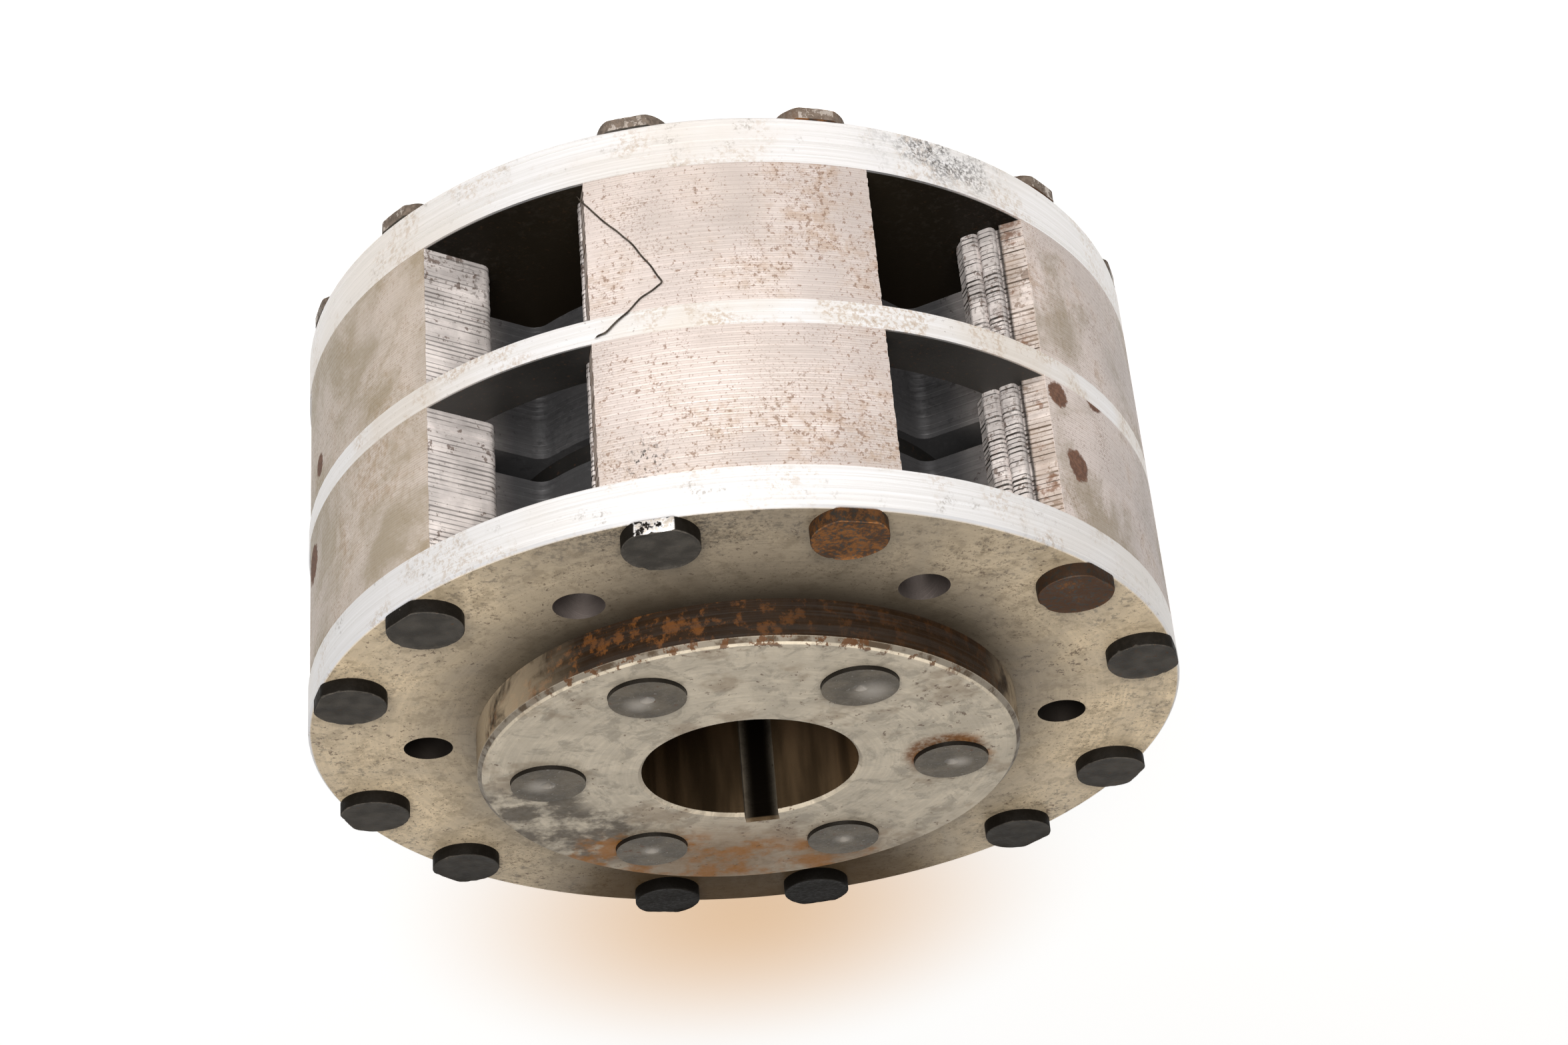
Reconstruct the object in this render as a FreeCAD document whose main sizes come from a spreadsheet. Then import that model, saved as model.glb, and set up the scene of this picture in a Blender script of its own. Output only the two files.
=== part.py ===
import FreeCAD, Part
import math
import os
import Sketcher

# Six-pole lamination stack on a keyed hub.
# The origin is the centre of the plane that the twelve far rivet heads rest on.
# +Z is the axis and points out of the hub flange.  The front pole faces -Y.
# Every pole is drawn along +Y and patterned round the axis, so "across" is the
# sideways distance in a sketch and "out" is the distance from the axis.

doc = FreeCAD.newDocument("lamination_stack")
START = 1
ORIGIN_POINT = (-1, 1)
AXIS_ACROSS = -1
AXIS_OUT = -2

# ---------------------------------------------------------------- driving sizes

SIZES = [
    # whole core
    ("outer_diameter", "80.0"),
    ("pole_count", "6"),
    ("edge_break", "0.25"),
    ("slip_clearance", "0.05"),
    # sheets
    ("sheet_thickness", "0.465"),
    ("hub_side_sheets", "30"),
    ("far_side_sheets", "31"),
    ("leg_width", "10.4"),
    ("leg_corner_radius", "1.5"),
    ("yoke_wall", "2.0"),
    # pole shoe
    ("shoe_depth", "8.8"),
    ("plain_side_offset", "12.3"),
    ("plain_corner_radius", "1.0"),
    ("beaded_side_offset", "12.5"),
    ("bead_width", "1.7"),
    ("bead_rise", "0.47"),
    ("bead_inset", "4.6"),
    ("notch_width", "0.5"),
    ("notch_depth", "0.6"),
    ("land_rise", "0.2"),
    ("land_taper", "0.3"),
    ("shoe_corner_cut", "0.8"),
    # plates and spacers
    ("hub_plate_thickness", "4.0"),
    ("far_plate_thickness", "5.0"),
    ("spacer_thickness", "2.42"),
    ("spacer_ring_width", "5.25"),
    ("collar_wall", "1.1"),
    ("face_hole_diameter", "4.5"),
    ("face_hole_gap", "2.15"),
    # pole rivets
    ("pole_rivet_diameter", "4.0"),
    ("pole_head_diameter", "6.6"),
    ("pole_head_height", "1.3"),
    ("far_head_height", "1.2"),
    ("pole_rivet_inset", "2.9"),
    ("pole_rivet_half_angle", "11.97"),
    ("pole_head_chamfer", "0.2"),
    # hub rivets
    ("hub_rivet_diameter", "6.0"),
    ("hub_head_diameter", "6.84"),
    ("hub_head_depth", "1.0"),
    ("hub_head_proud", "0.4"),
    ("hub_rivet_wall", "1.5"),
    ("punch_mark_diameter", "1.4"),
    ("punch_mark_depth", "0.35"),
    # hub
    ("barrel_wall", "2.46"),
    ("flange_margin", "2.98"),
    ("flange_height", "4.1"),
    ("flange_chamfer", "0.6"),
    ("bore_diameter", "20.0"),
    ("bore_chamfer", "0.3"),
    ("key_width", "3.2"),
    ("key_depth", "1.54"),
    ("key_turn", "7.0"),
]

# Levels, radii and sketch places, worked out from the driving sizes.
PLACES = [
    ("far_plate_base", "=sizes.far_head_height"),
    ("far_stack_height", "=sizes.sheet_thickness * sizes.far_side_sheets"),
    ("far_stack_base", "=far_plate_base + sizes.far_plate_thickness"),
    ("spacer_base", "=far_stack_base + far_stack_height"),
    ("hub_stack_height", "=sizes.sheet_thickness * sizes.hub_side_sheets"),
    ("hub_stack_base", "=spacer_base + sizes.spacer_thickness"),
    ("hub_plate_base", "=hub_stack_base + hub_stack_height"),
    ("hub_plate_face", "=hub_plate_base + sizes.hub_plate_thickness"),
    ("barrel_length", "=hub_plate_face - far_plate_base"),
    ("hub_length", "=barrel_length + sizes.flange_height"),
    ("outer_radius", "=sizes.outer_diameter / 2"),
    ("bore_radius", "=sizes.bore_diameter / 2"),
    ("key_out", "=bore_radius + sizes.key_depth"),
    ("barrel_radius", "=key_out + sizes.barrel_wall"),
    ("seat_radius", "=barrel_radius + sizes.slip_clearance"),
    ("hub_rivet_radius", "=sizes.hub_rivet_diameter / 2"),
    ("hub_rivet_out", "=barrel_radius + sizes.hub_rivet_wall + hub_rivet_radius"),
    ("hub_rivet_rim", "=hub_rivet_out + hub_rivet_radius"),
    ("hub_head_radius", "=sizes.hub_head_diameter / 2"),
    ("flange_radius", "=hub_rivet_out + hub_head_radius + sizes.flange_margin"),
    ("yoke_radius", "=hub_rivet_rim + sizes.yoke_wall"),
    ("collar_radius", "=hub_rivet_rim + sizes.collar_wall"),
    ("pole_pitch", "=360 / sizes.pole_count"),
    ("half_leg", "=sizes.leg_width / 2"),
    ("leg_root", "=yoke_radius - sizes.leg_width / 2"),
    ("shoe_underside", "=outer_radius - sizes.shoe_depth"),
    ("plain_corner_across", "=sizes.plain_side_offset - sizes.plain_corner_radius"),
    ("plain_corner_out", "=shoe_underside + sizes.plain_corner_radius"),
    ("beaded_corner_across", "=sizes.beaded_side_offset - sizes.shoe_corner_cut"),
    ("bead_radius", "=(sizes.bead_width ^ 2 / 4 + sizes.bead_rise ^ 2) / 2 / sizes.bead_rise"),
    ("upper_bead_end", "=outer_radius - sizes.bead_inset"),
    ("bead_valley", "=upper_bead_end - sizes.bead_width"),
    ("lower_bead_end", "=bead_valley - sizes.bead_width"),
    ("notch_end", "=upper_bead_end + sizes.notch_width"),
    ("land_across", "=sizes.beaded_side_offset + sizes.land_rise"),
    ("land_tip_across", "=land_across - sizes.land_taper"),
    ("notch_floor", "=land_across - sizes.notch_depth"),
    ("rivet_out", "=outer_radius - sizes.pole_rivet_inset"),
    ("rivet_radius", "=sizes.pole_rivet_diameter / 2"),
    ("rivet_hole_radius", "=rivet_radius + sizes.slip_clearance"),
    ("rivet_across", "=rivet_out * sin(sizes.pole_rivet_half_angle * 1deg)"),
    ("rivet_along", "=rivet_out * cos(sizes.pole_rivet_half_angle * 1deg)"),
    ("hub_hole_radius", "=hub_rivet_radius + sizes.slip_clearance"),
    ("head_seat_radius", "=hub_head_radius + sizes.slip_clearance"),
    ("hub_rivet_base", "=far_plate_base - sizes.hub_head_proud"),
    ("hub_rivet_length", "=hub_length + 2 * sizes.hub_head_proud"),
    ("hub_head_height", "=sizes.hub_head_depth + sizes.hub_head_proud"),
    ("hub_shank_end", "=hub_rivet_length - hub_head_height"),
    ("punch_mark_radius", "=sizes.punch_mark_diameter / 2"),
    ("punch_mark_floor", "=hub_rivet_length - sizes.punch_mark_depth"),
    ("pole_rivet_length", "=hub_plate_face + sizes.pole_head_height"),
    ("pole_head_radius", "=sizes.pole_head_diameter / 2"),
    ("pole_head_end_radius", "=pole_head_radius - sizes.pole_head_chamfer"),
    ("pole_head_upper_edge", "=pole_rivet_length - sizes.pole_head_chamfer"),
    ("trim_radius", "=outer_radius + sizes.pole_head_diameter"),
    ("flange_face_radius", "=flange_radius - sizes.flange_chamfer"),
    ("flange_edge", "=hub_length - sizes.flange_chamfer"),
    ("bore_mouth_radius", "=bore_radius + sizes.bore_chamfer"),
    ("bore_upper_edge", "=hub_length - sizes.bore_chamfer"),
    ("half_key", "=sizes.key_width / 2"),
    ("ring_bore_radius", "=outer_radius - sizes.spacer_ring_width"),
    ("face_hole_radius", "=sizes.face_hole_diameter / 2"),
    ("face_hole_out", "=flange_radius + sizes.face_hole_gap + face_hole_radius"),
]


def fill_sheet(name, rows):
    """Makes a sheet with one named value a row."""
    sheet = doc.addObject("Spreadsheet::Sheet", name)
    for number, (alias, text) in enumerate(rows, start=START):
        sheet.set("A%d" % number, alias)
        sheet.set("B%d" % number, text)
        sheet.setAlias("B%d" % number, alias)
    doc.recompute()
    return sheet


sizes = fill_sheet("sizes", SIZES)
places = fill_sheet("places", PLACES)
OF_SIZES = dict(SIZES)


def value(alias):
    """Reads a named value, in millimetres or degrees."""
    sheet = sizes if alias in OF_SIZES else places
    return float(sheet.get(alias))


def full_name(alias):
    """Gives the name that an expression uses for a value."""
    return "sizes." + alias if alias in OF_SIZES else "places." + alias


# --------------------------------------------------------------- sketch helpers

UP = FreeCAD.Vector(0, 0, 1)
TINY = 1e-6
ON_RIM = "rim"


def signed(name):
    """Gives a named distance, negative where the name has a minus in front; no name is zero."""
    if not name:
        return 0.0
    return -value(name[1:]) if name.startswith("-") else value(name)


def tie(sketch, kind, number, end, name):
    """Ties a point to its named distance from the sketch's origin along one direction."""
    if not name:
        axis = AXIS_OUT if kind == "DistanceX" else AXIS_ACROSS
        sketch.addConstraint(Sketcher.Constraint("PointOnObject", number, end, axis))
        return
    plain = name.lstrip("-")
    point = (number, end)
    ends = point + ORIGIN_POINT if name.startswith("-") else ORIGIN_POINT + point
    index = sketch.addConstraint(Sketcher.Constraint(kind, *ends, value(plain)))
    sketch.setExpression("Constraints[%d]" % index, full_name(plain))


def tie_radius(sketch, number, radius):
    """Gives a circle or an arc its named radius."""
    index = sketch.addConstraint(Sketcher.Constraint("Radius", number, value(radius)))
    sketch.setExpression("Constraints[%d]" % index, full_name(radius))


def draw_circle(sketch, radius, across="", out=""):
    """Draws a circle whose centre is at named distances from the sketch's origin."""
    centre = FreeCAD.Vector(signed(across), signed(out), 0)
    number = sketch.addGeometry(Part.Circle(centre, UP, value(radius)), False)
    tie(sketch, "DistanceX", number, 3, across)
    tie(sketch, "DistanceY", number, 3, out)
    tie_radius(sketch, number, radius)


def bulged_arc(first, last, radius):
    """Makes the shorter arc of a radius between two points, bulging to the right of the way."""
    way = last - first
    half_chord = way.Length / 2
    rise = radius - math.sqrt(radius ** 2 - half_chord ** 2)
    right = FreeCAD.Vector(way.y, -way.x, 0).normalize()
    return Part.Arc(first, (first + last) / 2 + right * rise, last)


def draw_outline(sketch, sides):
    """Draws a closed outline, anticlockwise.

    A side is the named place of its first corner, across and out, and for an arc its
    named radius.  A corner on the outer diameter has no "out" of its own: the arc
    round the axis gives it.
    """
    corners = []
    for across, out, _ in sides:
        if out == ON_RIM:
            height = math.sqrt(value("outer_radius") ** 2 - signed(across) ** 2)
        else:
            height = signed(out)
        corners.append(FreeCAD.Vector(signed(across), height, 0))
    numbers = []
    for index, (_, _, radius) in enumerate(sides):
        first = corners[index]
        last = corners[(index + 1) % len(sides)]
        shape = bulged_arc(first, last, value(radius)) if radius else Part.LineSegment(first, last)
        numbers.append(sketch.addGeometry(shape, False))
    ends = []
    for number, first in zip(numbers, corners):
        forward = sketch.getPoint(number, 1).distanceToPoint(first) < TINY
        ends.append((1, 2) if forward else (2, 1))
    for index, (across, out, radius) in enumerate(sides):
        number = numbers[index]
        start = ends[index][0]
        tie(sketch, "DistanceX", number, start, across)
        if out != ON_RIM:
            tie(sketch, "DistanceY", number, start, out)
        if radius:
            tie_radius(sketch, number, radius)
        if radius == "outer_radius":
            sketch.addConstraint(Sketcher.Constraint("Coincident", number, 3, *ORIGIN_POINT))
        before = index - 1
        joint = (numbers[before], ends[before][1], number, start)
        sketch.addConstraint(Sketcher.Constraint("Coincident", *joint))


# -------------------------------------------------------------- feature helpers


def origin_feature(body, role):
    """Finds a plane or an axis of the body's own origin."""
    for feature in body.Origin.OriginFeatures:
        if feature.Role == role:
            return feature
    raise ValueError("no " + role)


def new_body(label, base=""):
    """Starts a sub-part whose lowest face is at a named level."""
    body = doc.addObject("PartDesign::Body", label)
    body.Label = label
    if base:
        body.setExpression("Placement.Base.z", full_name(base))
    return body


def new_sketch(body, name, plane="XY_Plane"):
    """Starts a sketch on a plane of the body's origin."""
    sketch = body.newObject("Sketcher::SketchObject", name)
    sketch.AttachmentSupport = [(origin_feature(body, plane), "")]
    sketch.MapMode = "FlatFace"
    return sketch


def turn_sketch(sketch, angle):
    """Turns a sketch about the axis by an angle given as an expression."""
    sketch.AttachmentOffset = FreeCAD.Placement(FreeCAD.Vector(), UP, 0)
    sketch.setExpression("AttachmentOffset.Rotation.Angle", angle)


def add_pad(body, sketch, name, length):
    """Raises a sketch by a named length."""
    pad = body.newObject("PartDesign::Pad", name)
    pad.Profile = sketch
    pad.setExpression("Length", full_name(length))
    body.Tip = pad
    doc.recompute()
    return pad


def add_turning(body, sketch, name):
    """Turns a half section round the sketch's upright axis."""
    turning = body.newObject("PartDesign::Revolution", name)
    turning.Profile = sketch
    turning.ReferenceAxis = (sketch, ["V_Axis"])
    turning.Angle = 360
    body.Tip = turning
    doc.recompute()
    return turning


def add_pocket(body, sketch, name, depth="", downward=False):
    """Cuts a sketch away, right through or to a named depth."""
    before = body.Shape.Volume
    pocket = body.newObject("PartDesign::Pocket", name)
    pocket.Profile = sketch
    pocket.Reversed = not downward
    if depth:
        pocket.setExpression("Length", full_name(depth))
    else:
        pocket.Type = "ThroughAll"
    body.Tip = pocket
    doc.recompute()
    if body.Shape.Volume >= before:
        raise ValueError(body.Label + ": " + name + " cuts nothing")
    return pocket


def add_pattern(body, feature, name):
    """Repeats a feature once for each pole."""
    pattern = body.newObject("PartDesign::PolarPattern", name)
    pattern.Originals = [feature]
    pattern.Axis = (origin_feature(body, "Z_Axis"), [""])
    pattern.Angle = 360
    pattern.setExpression("Occurrences", full_name("pole_count"))
    body.Tip = pattern
    doc.recompute()
    return pattern


def add_disc(body, outer, inner=""):
    """Starts a body as a flat disc or ring of the body's own thickness."""
    sketch = new_sketch(body, "disc_outline")
    draw_circle(sketch, outer)
    if inner:
        draw_circle(sketch, inner)
    return sketch


def drill_pole_rivets(body):
    """Drills the two rivet holes of every pole."""
    sketch = new_sketch(body, "pole_rivet_holes")
    draw_circle(sketch, "rivet_hole_radius", "rivet_across", "rivet_along")
    draw_circle(sketch, "rivet_hole_radius", "-rivet_across", "rivet_along")
    pocket = add_pocket(body, sketch, "pole_rivet_drilling")
    add_pattern(body, pocket, "pole_rivet_round")


def drill_between_poles(body, name, radius, out, depth="", level="", downward=False):
    """Drills one hole on each line midway between two poles."""
    sketch = new_sketch(body, name + "_place")
    turn_sketch(sketch, "places.pole_pitch / 2 * 1deg")
    if level:
        sketch.setExpression("AttachmentOffset.Base.z", full_name(level))
    draw_circle(sketch, radius, "", out)
    pocket = add_pocket(body, sketch, name, depth, downward)
    add_pattern(body, pocket, name + "_round")


def upright_edges(feature, distances):
    """Finds the upright edges of a feature that lie at given distances from the axis."""
    names = []
    for number, edge in enumerate(feature.Shape.Edges, start=START):
        ends = [vertex.Point for vertex in edge.Vertexes]
        if len(ends) != 2:
            continue
        first, last = ends
        upright = math.hypot(first.x - last.x, first.y - last.y) < TINY
        reach = math.hypot(first.x, first.y)
        if upright and any(abs(reach - distance) < TINY for distance in distances):
            names.append("Edge%d" % number)
    return names


def rim_edge_at(disc, level):
    """Finds the round edge of a disc at a named level, or at its foot where there is no name."""
    for number, edge in enumerate(disc.Shape.Edges, start=START):
        round_edge = isinstance(edge.Curve, Part.Circle)
        if round_edge and abs(edge.Curve.Center.z - signed(level)) < TINY:
            return "Edge%d" % number
    raise ValueError("no rim at " + level)


# ------------------------------------------------------------------- the pieces

# A pole sheet's outline from the leg's root: up the plain side, over the rim, and down
# the beaded side, which has a land, a notch and two beads.
POLE_OUTLINE = [
    ("half_leg", "leg_root", ""),
    ("half_leg", "shoe_underside", ""),
    ("plain_corner_across", "shoe_underside", "plain_corner_radius"),
    ("plain_side_offset", "plain_corner_out", ""),
    ("plain_side_offset", ON_RIM, "outer_radius"),
    ("-land_tip_across", ON_RIM, ""),
    ("-land_across", "notch_end", ""),
    ("-notch_floor", "notch_end", ""),
    ("-notch_floor", "upper_bead_end", ""),
    ("-beaded_side_offset", "upper_bead_end", "bead_radius"),
    ("-beaded_side_offset", "bead_valley", "bead_radius"),
    ("-beaded_side_offset", "lower_bead_end", ""),
    ("-beaded_corner_across", "shoe_underside", ""),
    ("-half_leg", "shoe_underside", ""),
    ("-half_leg", "leg_root", ""),
]


def make_stack(label, base, height):
    """A stack of six-pole sheets: yoke, legs with rounded corners, shoes and rivet holes."""
    body = new_body(label, base)
    yoke = add_disc(body, "yoke_radius", "seat_radius")
    add_pad(body, yoke, "yoke", height)
    sketch = new_sketch(body, "pole_outline")
    draw_outline(sketch, POLE_OUTLINE)
    pole = add_pad(body, sketch, "pole", height)
    add_pattern(body, pole, "poles")
    drill_pole_rivets(body)
    drill_between_poles(body, "hub_rivet_holes", "hub_hole_radius", "hub_rivet_out")
    drilled = body.Tip
    reach = math.hypot(value("half_leg"), value("shoe_underside"))
    corners = body.newObject("PartDesign::Fillet", "leg_corners")
    corners.Base = (drilled, upright_edges(drilled, [reach, value("yoke_radius")]))
    corners.setExpression("Radius", full_name("leg_corner_radius"))
    body.Tip = corners
    doc.recompute()
    return body


def make_plate(label, base, thickness, outer_face):
    """An end plate with a broken edge at its outer face, a seat for the barrel and rivet holes."""
    body = new_body(label, base)
    plate = add_pad(body, add_disc(body, "outer_radius"), "plate", thickness)
    rim = body.newObject("PartDesign::Chamfer", "rim_edge")
    rim.Base = (plate, [rim_edge_at(plate, outer_face)])
    rim.setExpression("Size", full_name("edge_break"))
    body.Tip = rim
    doc.recompute()
    seat = new_sketch(body, "barrel_seat_outline")
    draw_circle(seat, "seat_radius")
    add_pocket(body, seat, "barrel_seat")
    drill_pole_rivets(body)
    drill_between_poles(body, "hub_rivet_holes", "hub_hole_radius", "hub_rivet_out")
    return body


def make_hub_end_plate():
    """The plate that the flange sits on, with its six small holes over the slots."""
    body = make_plate("hub_end_plate", "hub_plate_base", "hub_plate_thickness", "hub_plate_thickness")
    drill_between_poles(body, "face_holes", "face_hole_radius", "face_hole_out")
    return body


def make_far_end_plate():
    """The thicker plate, with a recess for the far head of each hub rivet."""
    body = make_plate("far_end_plate", "far_plate_base", "far_plate_thickness", "")
    drill_between_poles(body, "head_seats", "head_seat_radius", "hub_rivet_out", "hub_head_depth")
    return body


def make_spacer_ring():
    """The ring that parts the two stacks at the rim."""
    body = new_body("spacer_ring", "spacer_base")
    add_pad(body, add_disc(body, "outer_radius", "ring_bore_radius"), "ring", "spacer_thickness")
    drill_pole_rivets(body)
    return body


def make_spacer_collar():
    """The collar that parts the two yokes round the barrel."""
    body = new_body("spacer_collar", "spacer_base")
    add_pad(body, add_disc(body, "collar_radius", "seat_radius"), "collar", "spacer_thickness")
    drill_between_poles(body, "hub_rivet_holes", "hub_hole_radius", "hub_rivet_out")
    return body


def make_hub():
    """The turned hub: barrel, flange, keyed bore and the seats of the rivet heads."""
    body = new_body("hub", "far_plate_base")
    section = new_sketch(body, "hub_section", "XZ_Plane")
    draw_outline(section, [
        ("bore_mouth_radius", "", ""),
        ("barrel_radius", "", ""),
        ("barrel_radius", "barrel_length", ""),
        ("flange_radius", "barrel_length", ""),
        ("flange_radius", "flange_edge", ""),
        ("flange_face_radius", "hub_length", ""),
        ("bore_mouth_radius", "hub_length", ""),
        ("bore_radius", "bore_upper_edge", ""),
        ("bore_radius", "bore_chamfer", ""),
    ])
    add_turning(body, section, "hub_turning")
    drill_between_poles(body, "hub_rivet_holes", "hub_hole_radius", "hub_rivet_out")
    drill_between_poles(
        body, "head_seats", "head_seat_radius", "hub_rivet_out",
        depth="hub_head_depth", level="hub_length", downward=True,
    )
    key = new_sketch(body, "keyway_outline")
    turn_sketch(key, "sizes.key_turn * 1deg")
    draw_outline(key, [
        ("half_key", "", ""),
        ("half_key", "key_out", ""),
        ("-half_key", "key_out", ""),
        ("-half_key", "", ""),
    ])
    add_pocket(body, key, "keyway")
    return body


def make_pole_rivet(number, angle):
    """A rivet with an upset head at each end, turned flush with the outer diameter."""
    body = new_body("pole_rivet_%02d" % number)
    section = new_sketch(body, "rivet_section", "XZ_Plane")
    draw_outline(section, [
        ("", "", ""),
        ("pole_head_end_radius", "", ""),
        ("pole_head_radius", "pole_head_chamfer", ""),
        ("pole_head_radius", "far_head_height", ""),
        ("rivet_radius", "far_head_height", ""),
        ("rivet_radius", "hub_plate_face", ""),
        ("pole_head_radius", "hub_plate_face", ""),
        ("pole_head_radius", "pole_head_upper_edge", ""),
        ("pole_head_end_radius", "pole_rivet_length", ""),
        ("", "pole_rivet_length", ""),
    ])
    add_turning(body, section, "rivet_turning")
    waste = new_sketch(body, "waste_outside_rim")
    draw_circle(waste, "outer_radius", "", "-rivet_out")
    draw_circle(waste, "trim_radius", "", "-rivet_out")
    add_pocket(body, waste, "turned_flush")
    body.setExpression("Placement.Base.x", "-places.rivet_out * sin(%s)" % angle)
    body.setExpression("Placement.Base.y", "places.rivet_out * cos(%s)" % angle)
    body.setExpression("Placement.Rotation.Angle", angle)
    return body


def make_hub_rivet(number, angle):
    """A rivet with sunk heads that stand slightly proud, and a punch mark in the hub-side one."""
    body = new_body("hub_rivet_%d" % number, "hub_rivet_base")
    section = new_sketch(body, "rivet_section", "XZ_Plane")
    draw_outline(section, [
        ("", "", ""),
        ("hub_head_radius", "", ""),
        ("hub_head_radius", "hub_head_height", ""),
        ("hub_rivet_radius", "hub_head_height", ""),
        ("hub_rivet_radius", "hub_shank_end", ""),
        ("hub_head_radius", "hub_shank_end", ""),
        ("hub_head_radius", "hub_rivet_length", ""),
        ("punch_mark_radius", "hub_rivet_length", ""),
        ("", "punch_mark_floor", ""),
    ])
    add_turning(body, section, "rivet_turning")
    body.setExpression("Placement.Base.x", "-places.hub_rivet_out * sin(%s)" % angle)
    body.setExpression("Placement.Base.y", "places.hub_rivet_out * cos(%s)" % angle)
    return body


def make_rivets():
    """Two rivets a pole, counted from the front pole, and one hub rivet after each pole."""
    made = []
    for pole in range(int(value("pole_count"))):
        middle = "(180 + %d * places.pole_pitch" % pole
        made.append(make_pole_rivet(2 * pole + 1, middle + " - sizes.pole_rivet_half_angle) * 1deg"))
        made.append(make_pole_rivet(2 * pole + 2, middle + " + sizes.pole_rivet_half_angle) * 1deg"))
        made.append(make_hub_rivet(pole + 1, middle + " + places.pole_pitch / 2) * 1deg"))
    return made


parts = [
    make_hub(),
    make_hub_end_plate(),
    make_far_end_plate(),
    make_stack("hub_side_stack", "hub_stack_base", "hub_stack_height"),
    make_stack("far_side_stack", "far_stack_base", "far_stack_height"),
    make_spacer_ring(),
    make_spacer_collar(),
]
parts += make_rivets()
doc.recompute()

# ----------------------------------------------------------- checks and writing

for item in doc.Objects:
    if "Invalid" in item.State or "Error" in item.State:
        raise ValueError("%s did not compute" % item.Label)
for part in parts:
    if part.Shape.isNull() or not part.Shape.isValid():
        raise ValueError("%s has no valid shape" % part.Label)

os.makedirs("parts", exist_ok=True)
for part in parts:
    part.Shape.exportStep("parts/%s.step" % part.Label)
    print("%s: %.1f mm3, %d solid" % (part.Label, part.Shape.Volume, len(part.Shape.Solids)))
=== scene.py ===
import math
from types import SimpleNamespace

import bpy
import numpy as np
from bpy.props import FloatProperty, FloatVectorProperty, IntProperty, PointerProperty
from bpy.types import Operator, Panel, PropertyGroup
from mathutils import Matrix, Vector
from mathutils.geometry import tessellate_polygon


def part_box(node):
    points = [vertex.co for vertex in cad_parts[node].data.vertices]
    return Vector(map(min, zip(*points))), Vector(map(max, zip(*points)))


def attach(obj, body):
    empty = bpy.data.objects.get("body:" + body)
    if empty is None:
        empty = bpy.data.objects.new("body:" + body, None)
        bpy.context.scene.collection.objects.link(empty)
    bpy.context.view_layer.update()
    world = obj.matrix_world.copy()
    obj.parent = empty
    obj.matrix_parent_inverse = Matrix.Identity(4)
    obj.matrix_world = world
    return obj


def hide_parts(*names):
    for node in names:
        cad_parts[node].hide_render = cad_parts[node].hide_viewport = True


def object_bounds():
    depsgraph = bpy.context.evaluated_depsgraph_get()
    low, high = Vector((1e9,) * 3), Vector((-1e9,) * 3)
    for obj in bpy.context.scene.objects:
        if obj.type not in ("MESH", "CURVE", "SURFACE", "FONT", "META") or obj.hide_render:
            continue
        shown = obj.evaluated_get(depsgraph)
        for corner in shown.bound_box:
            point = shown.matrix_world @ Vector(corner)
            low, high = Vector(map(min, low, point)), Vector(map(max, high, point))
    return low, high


bl_info = {
    "name": "Lamination stack dresser",
    "version": (1, 0, 0),
    "blender": (4, 5, 0),
    "location": "View3D > Sidebar > Lamination",
    "description": "Dresses a packed six-pole lamination stack with its sheets, rivets, finishes and stage",
    "category": "Object",
}

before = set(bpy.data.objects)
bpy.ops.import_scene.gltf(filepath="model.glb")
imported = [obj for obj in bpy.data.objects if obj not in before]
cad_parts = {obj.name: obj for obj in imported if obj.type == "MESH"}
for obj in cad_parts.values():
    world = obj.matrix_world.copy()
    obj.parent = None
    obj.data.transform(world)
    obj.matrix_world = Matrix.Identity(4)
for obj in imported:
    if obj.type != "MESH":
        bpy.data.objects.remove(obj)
CAD_BOX = [list(corner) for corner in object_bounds()]

MM = 0.001
BODY = "root"
POLES = 6
POLE_ANGLES = [math.radians(60 * number - 90) for number in range(POLES)]
RIVETS_PER_POLE = 2

# points on each arc of a sheet's outline, and round the seat and each rivet
FILLET_POINTS = 6
CORNER_POINTS = 5
BEAD_POINTS = 11
CROWN_POINTS = 41
YOKE_POINTS = 9
SEAT_POINTS = 60
RIVET_POINTS = 72

# small lengths of the sheets and the rivets, in millimetres
TURNING_PITCH = 0.235
RIM_MARGIN = 0.02
LEG_GROOVE = 0.012
DRAWN_IN = 0.03
RIM_CLEARANCE = 0.004
HEAD_UNEVEN = 0.008
DISH_DEPTH = 0.05
DISH_SPREAD = 0.03
LEAST_DISH = 0.01
MIDDLE_DISH = 0.02
FOOT_ROUGHNESS = 0.012

# the groove under a sheet, as a share of its usual depth, and a sheet's broken edge, as a share of its pitch
GROOVE_SPREAD = (0.5, 1.3)
BROKEN_EDGE = 0.06

# a drawn noise above the level is a chip, and is a full chip when it is above by the span
CHIP_LEVEL = 1.3
CHIP_SPAN = 1.4


def extent(node):
    """Gives a node's lowest and highest corner in millimetres."""
    low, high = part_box(node)
    return np.array(low) / MM, np.array(high) / MM


def levels(node):
    """Gives a node's lowest and highest level in millimetres."""
    low, high = extent(node)
    return float(low[2]), float(high[2])


OUTER_RADIUS = float(extent("hub_end_plate")[1][0])
FAR_SEAT = levels("far_end_plate")[0]
HUB_SEAT = levels("hub_end_plate")[1]
FAR_STACK_BASE, FAR_STACK_TOP = levels("far_side_stack")
HUB_STACK_BASE = levels("hub_side_stack")[0]
RIVET_FOOT, RIVET_TOP = levels("pole_rivet_01")
RIVET_MIDDLE = 0.5 * (RIVET_FOOT + RIVET_TOP)
HUB_REACH = float(extent("hub")[1][0])
HUB_TOP = levels("hub")[1]

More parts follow.
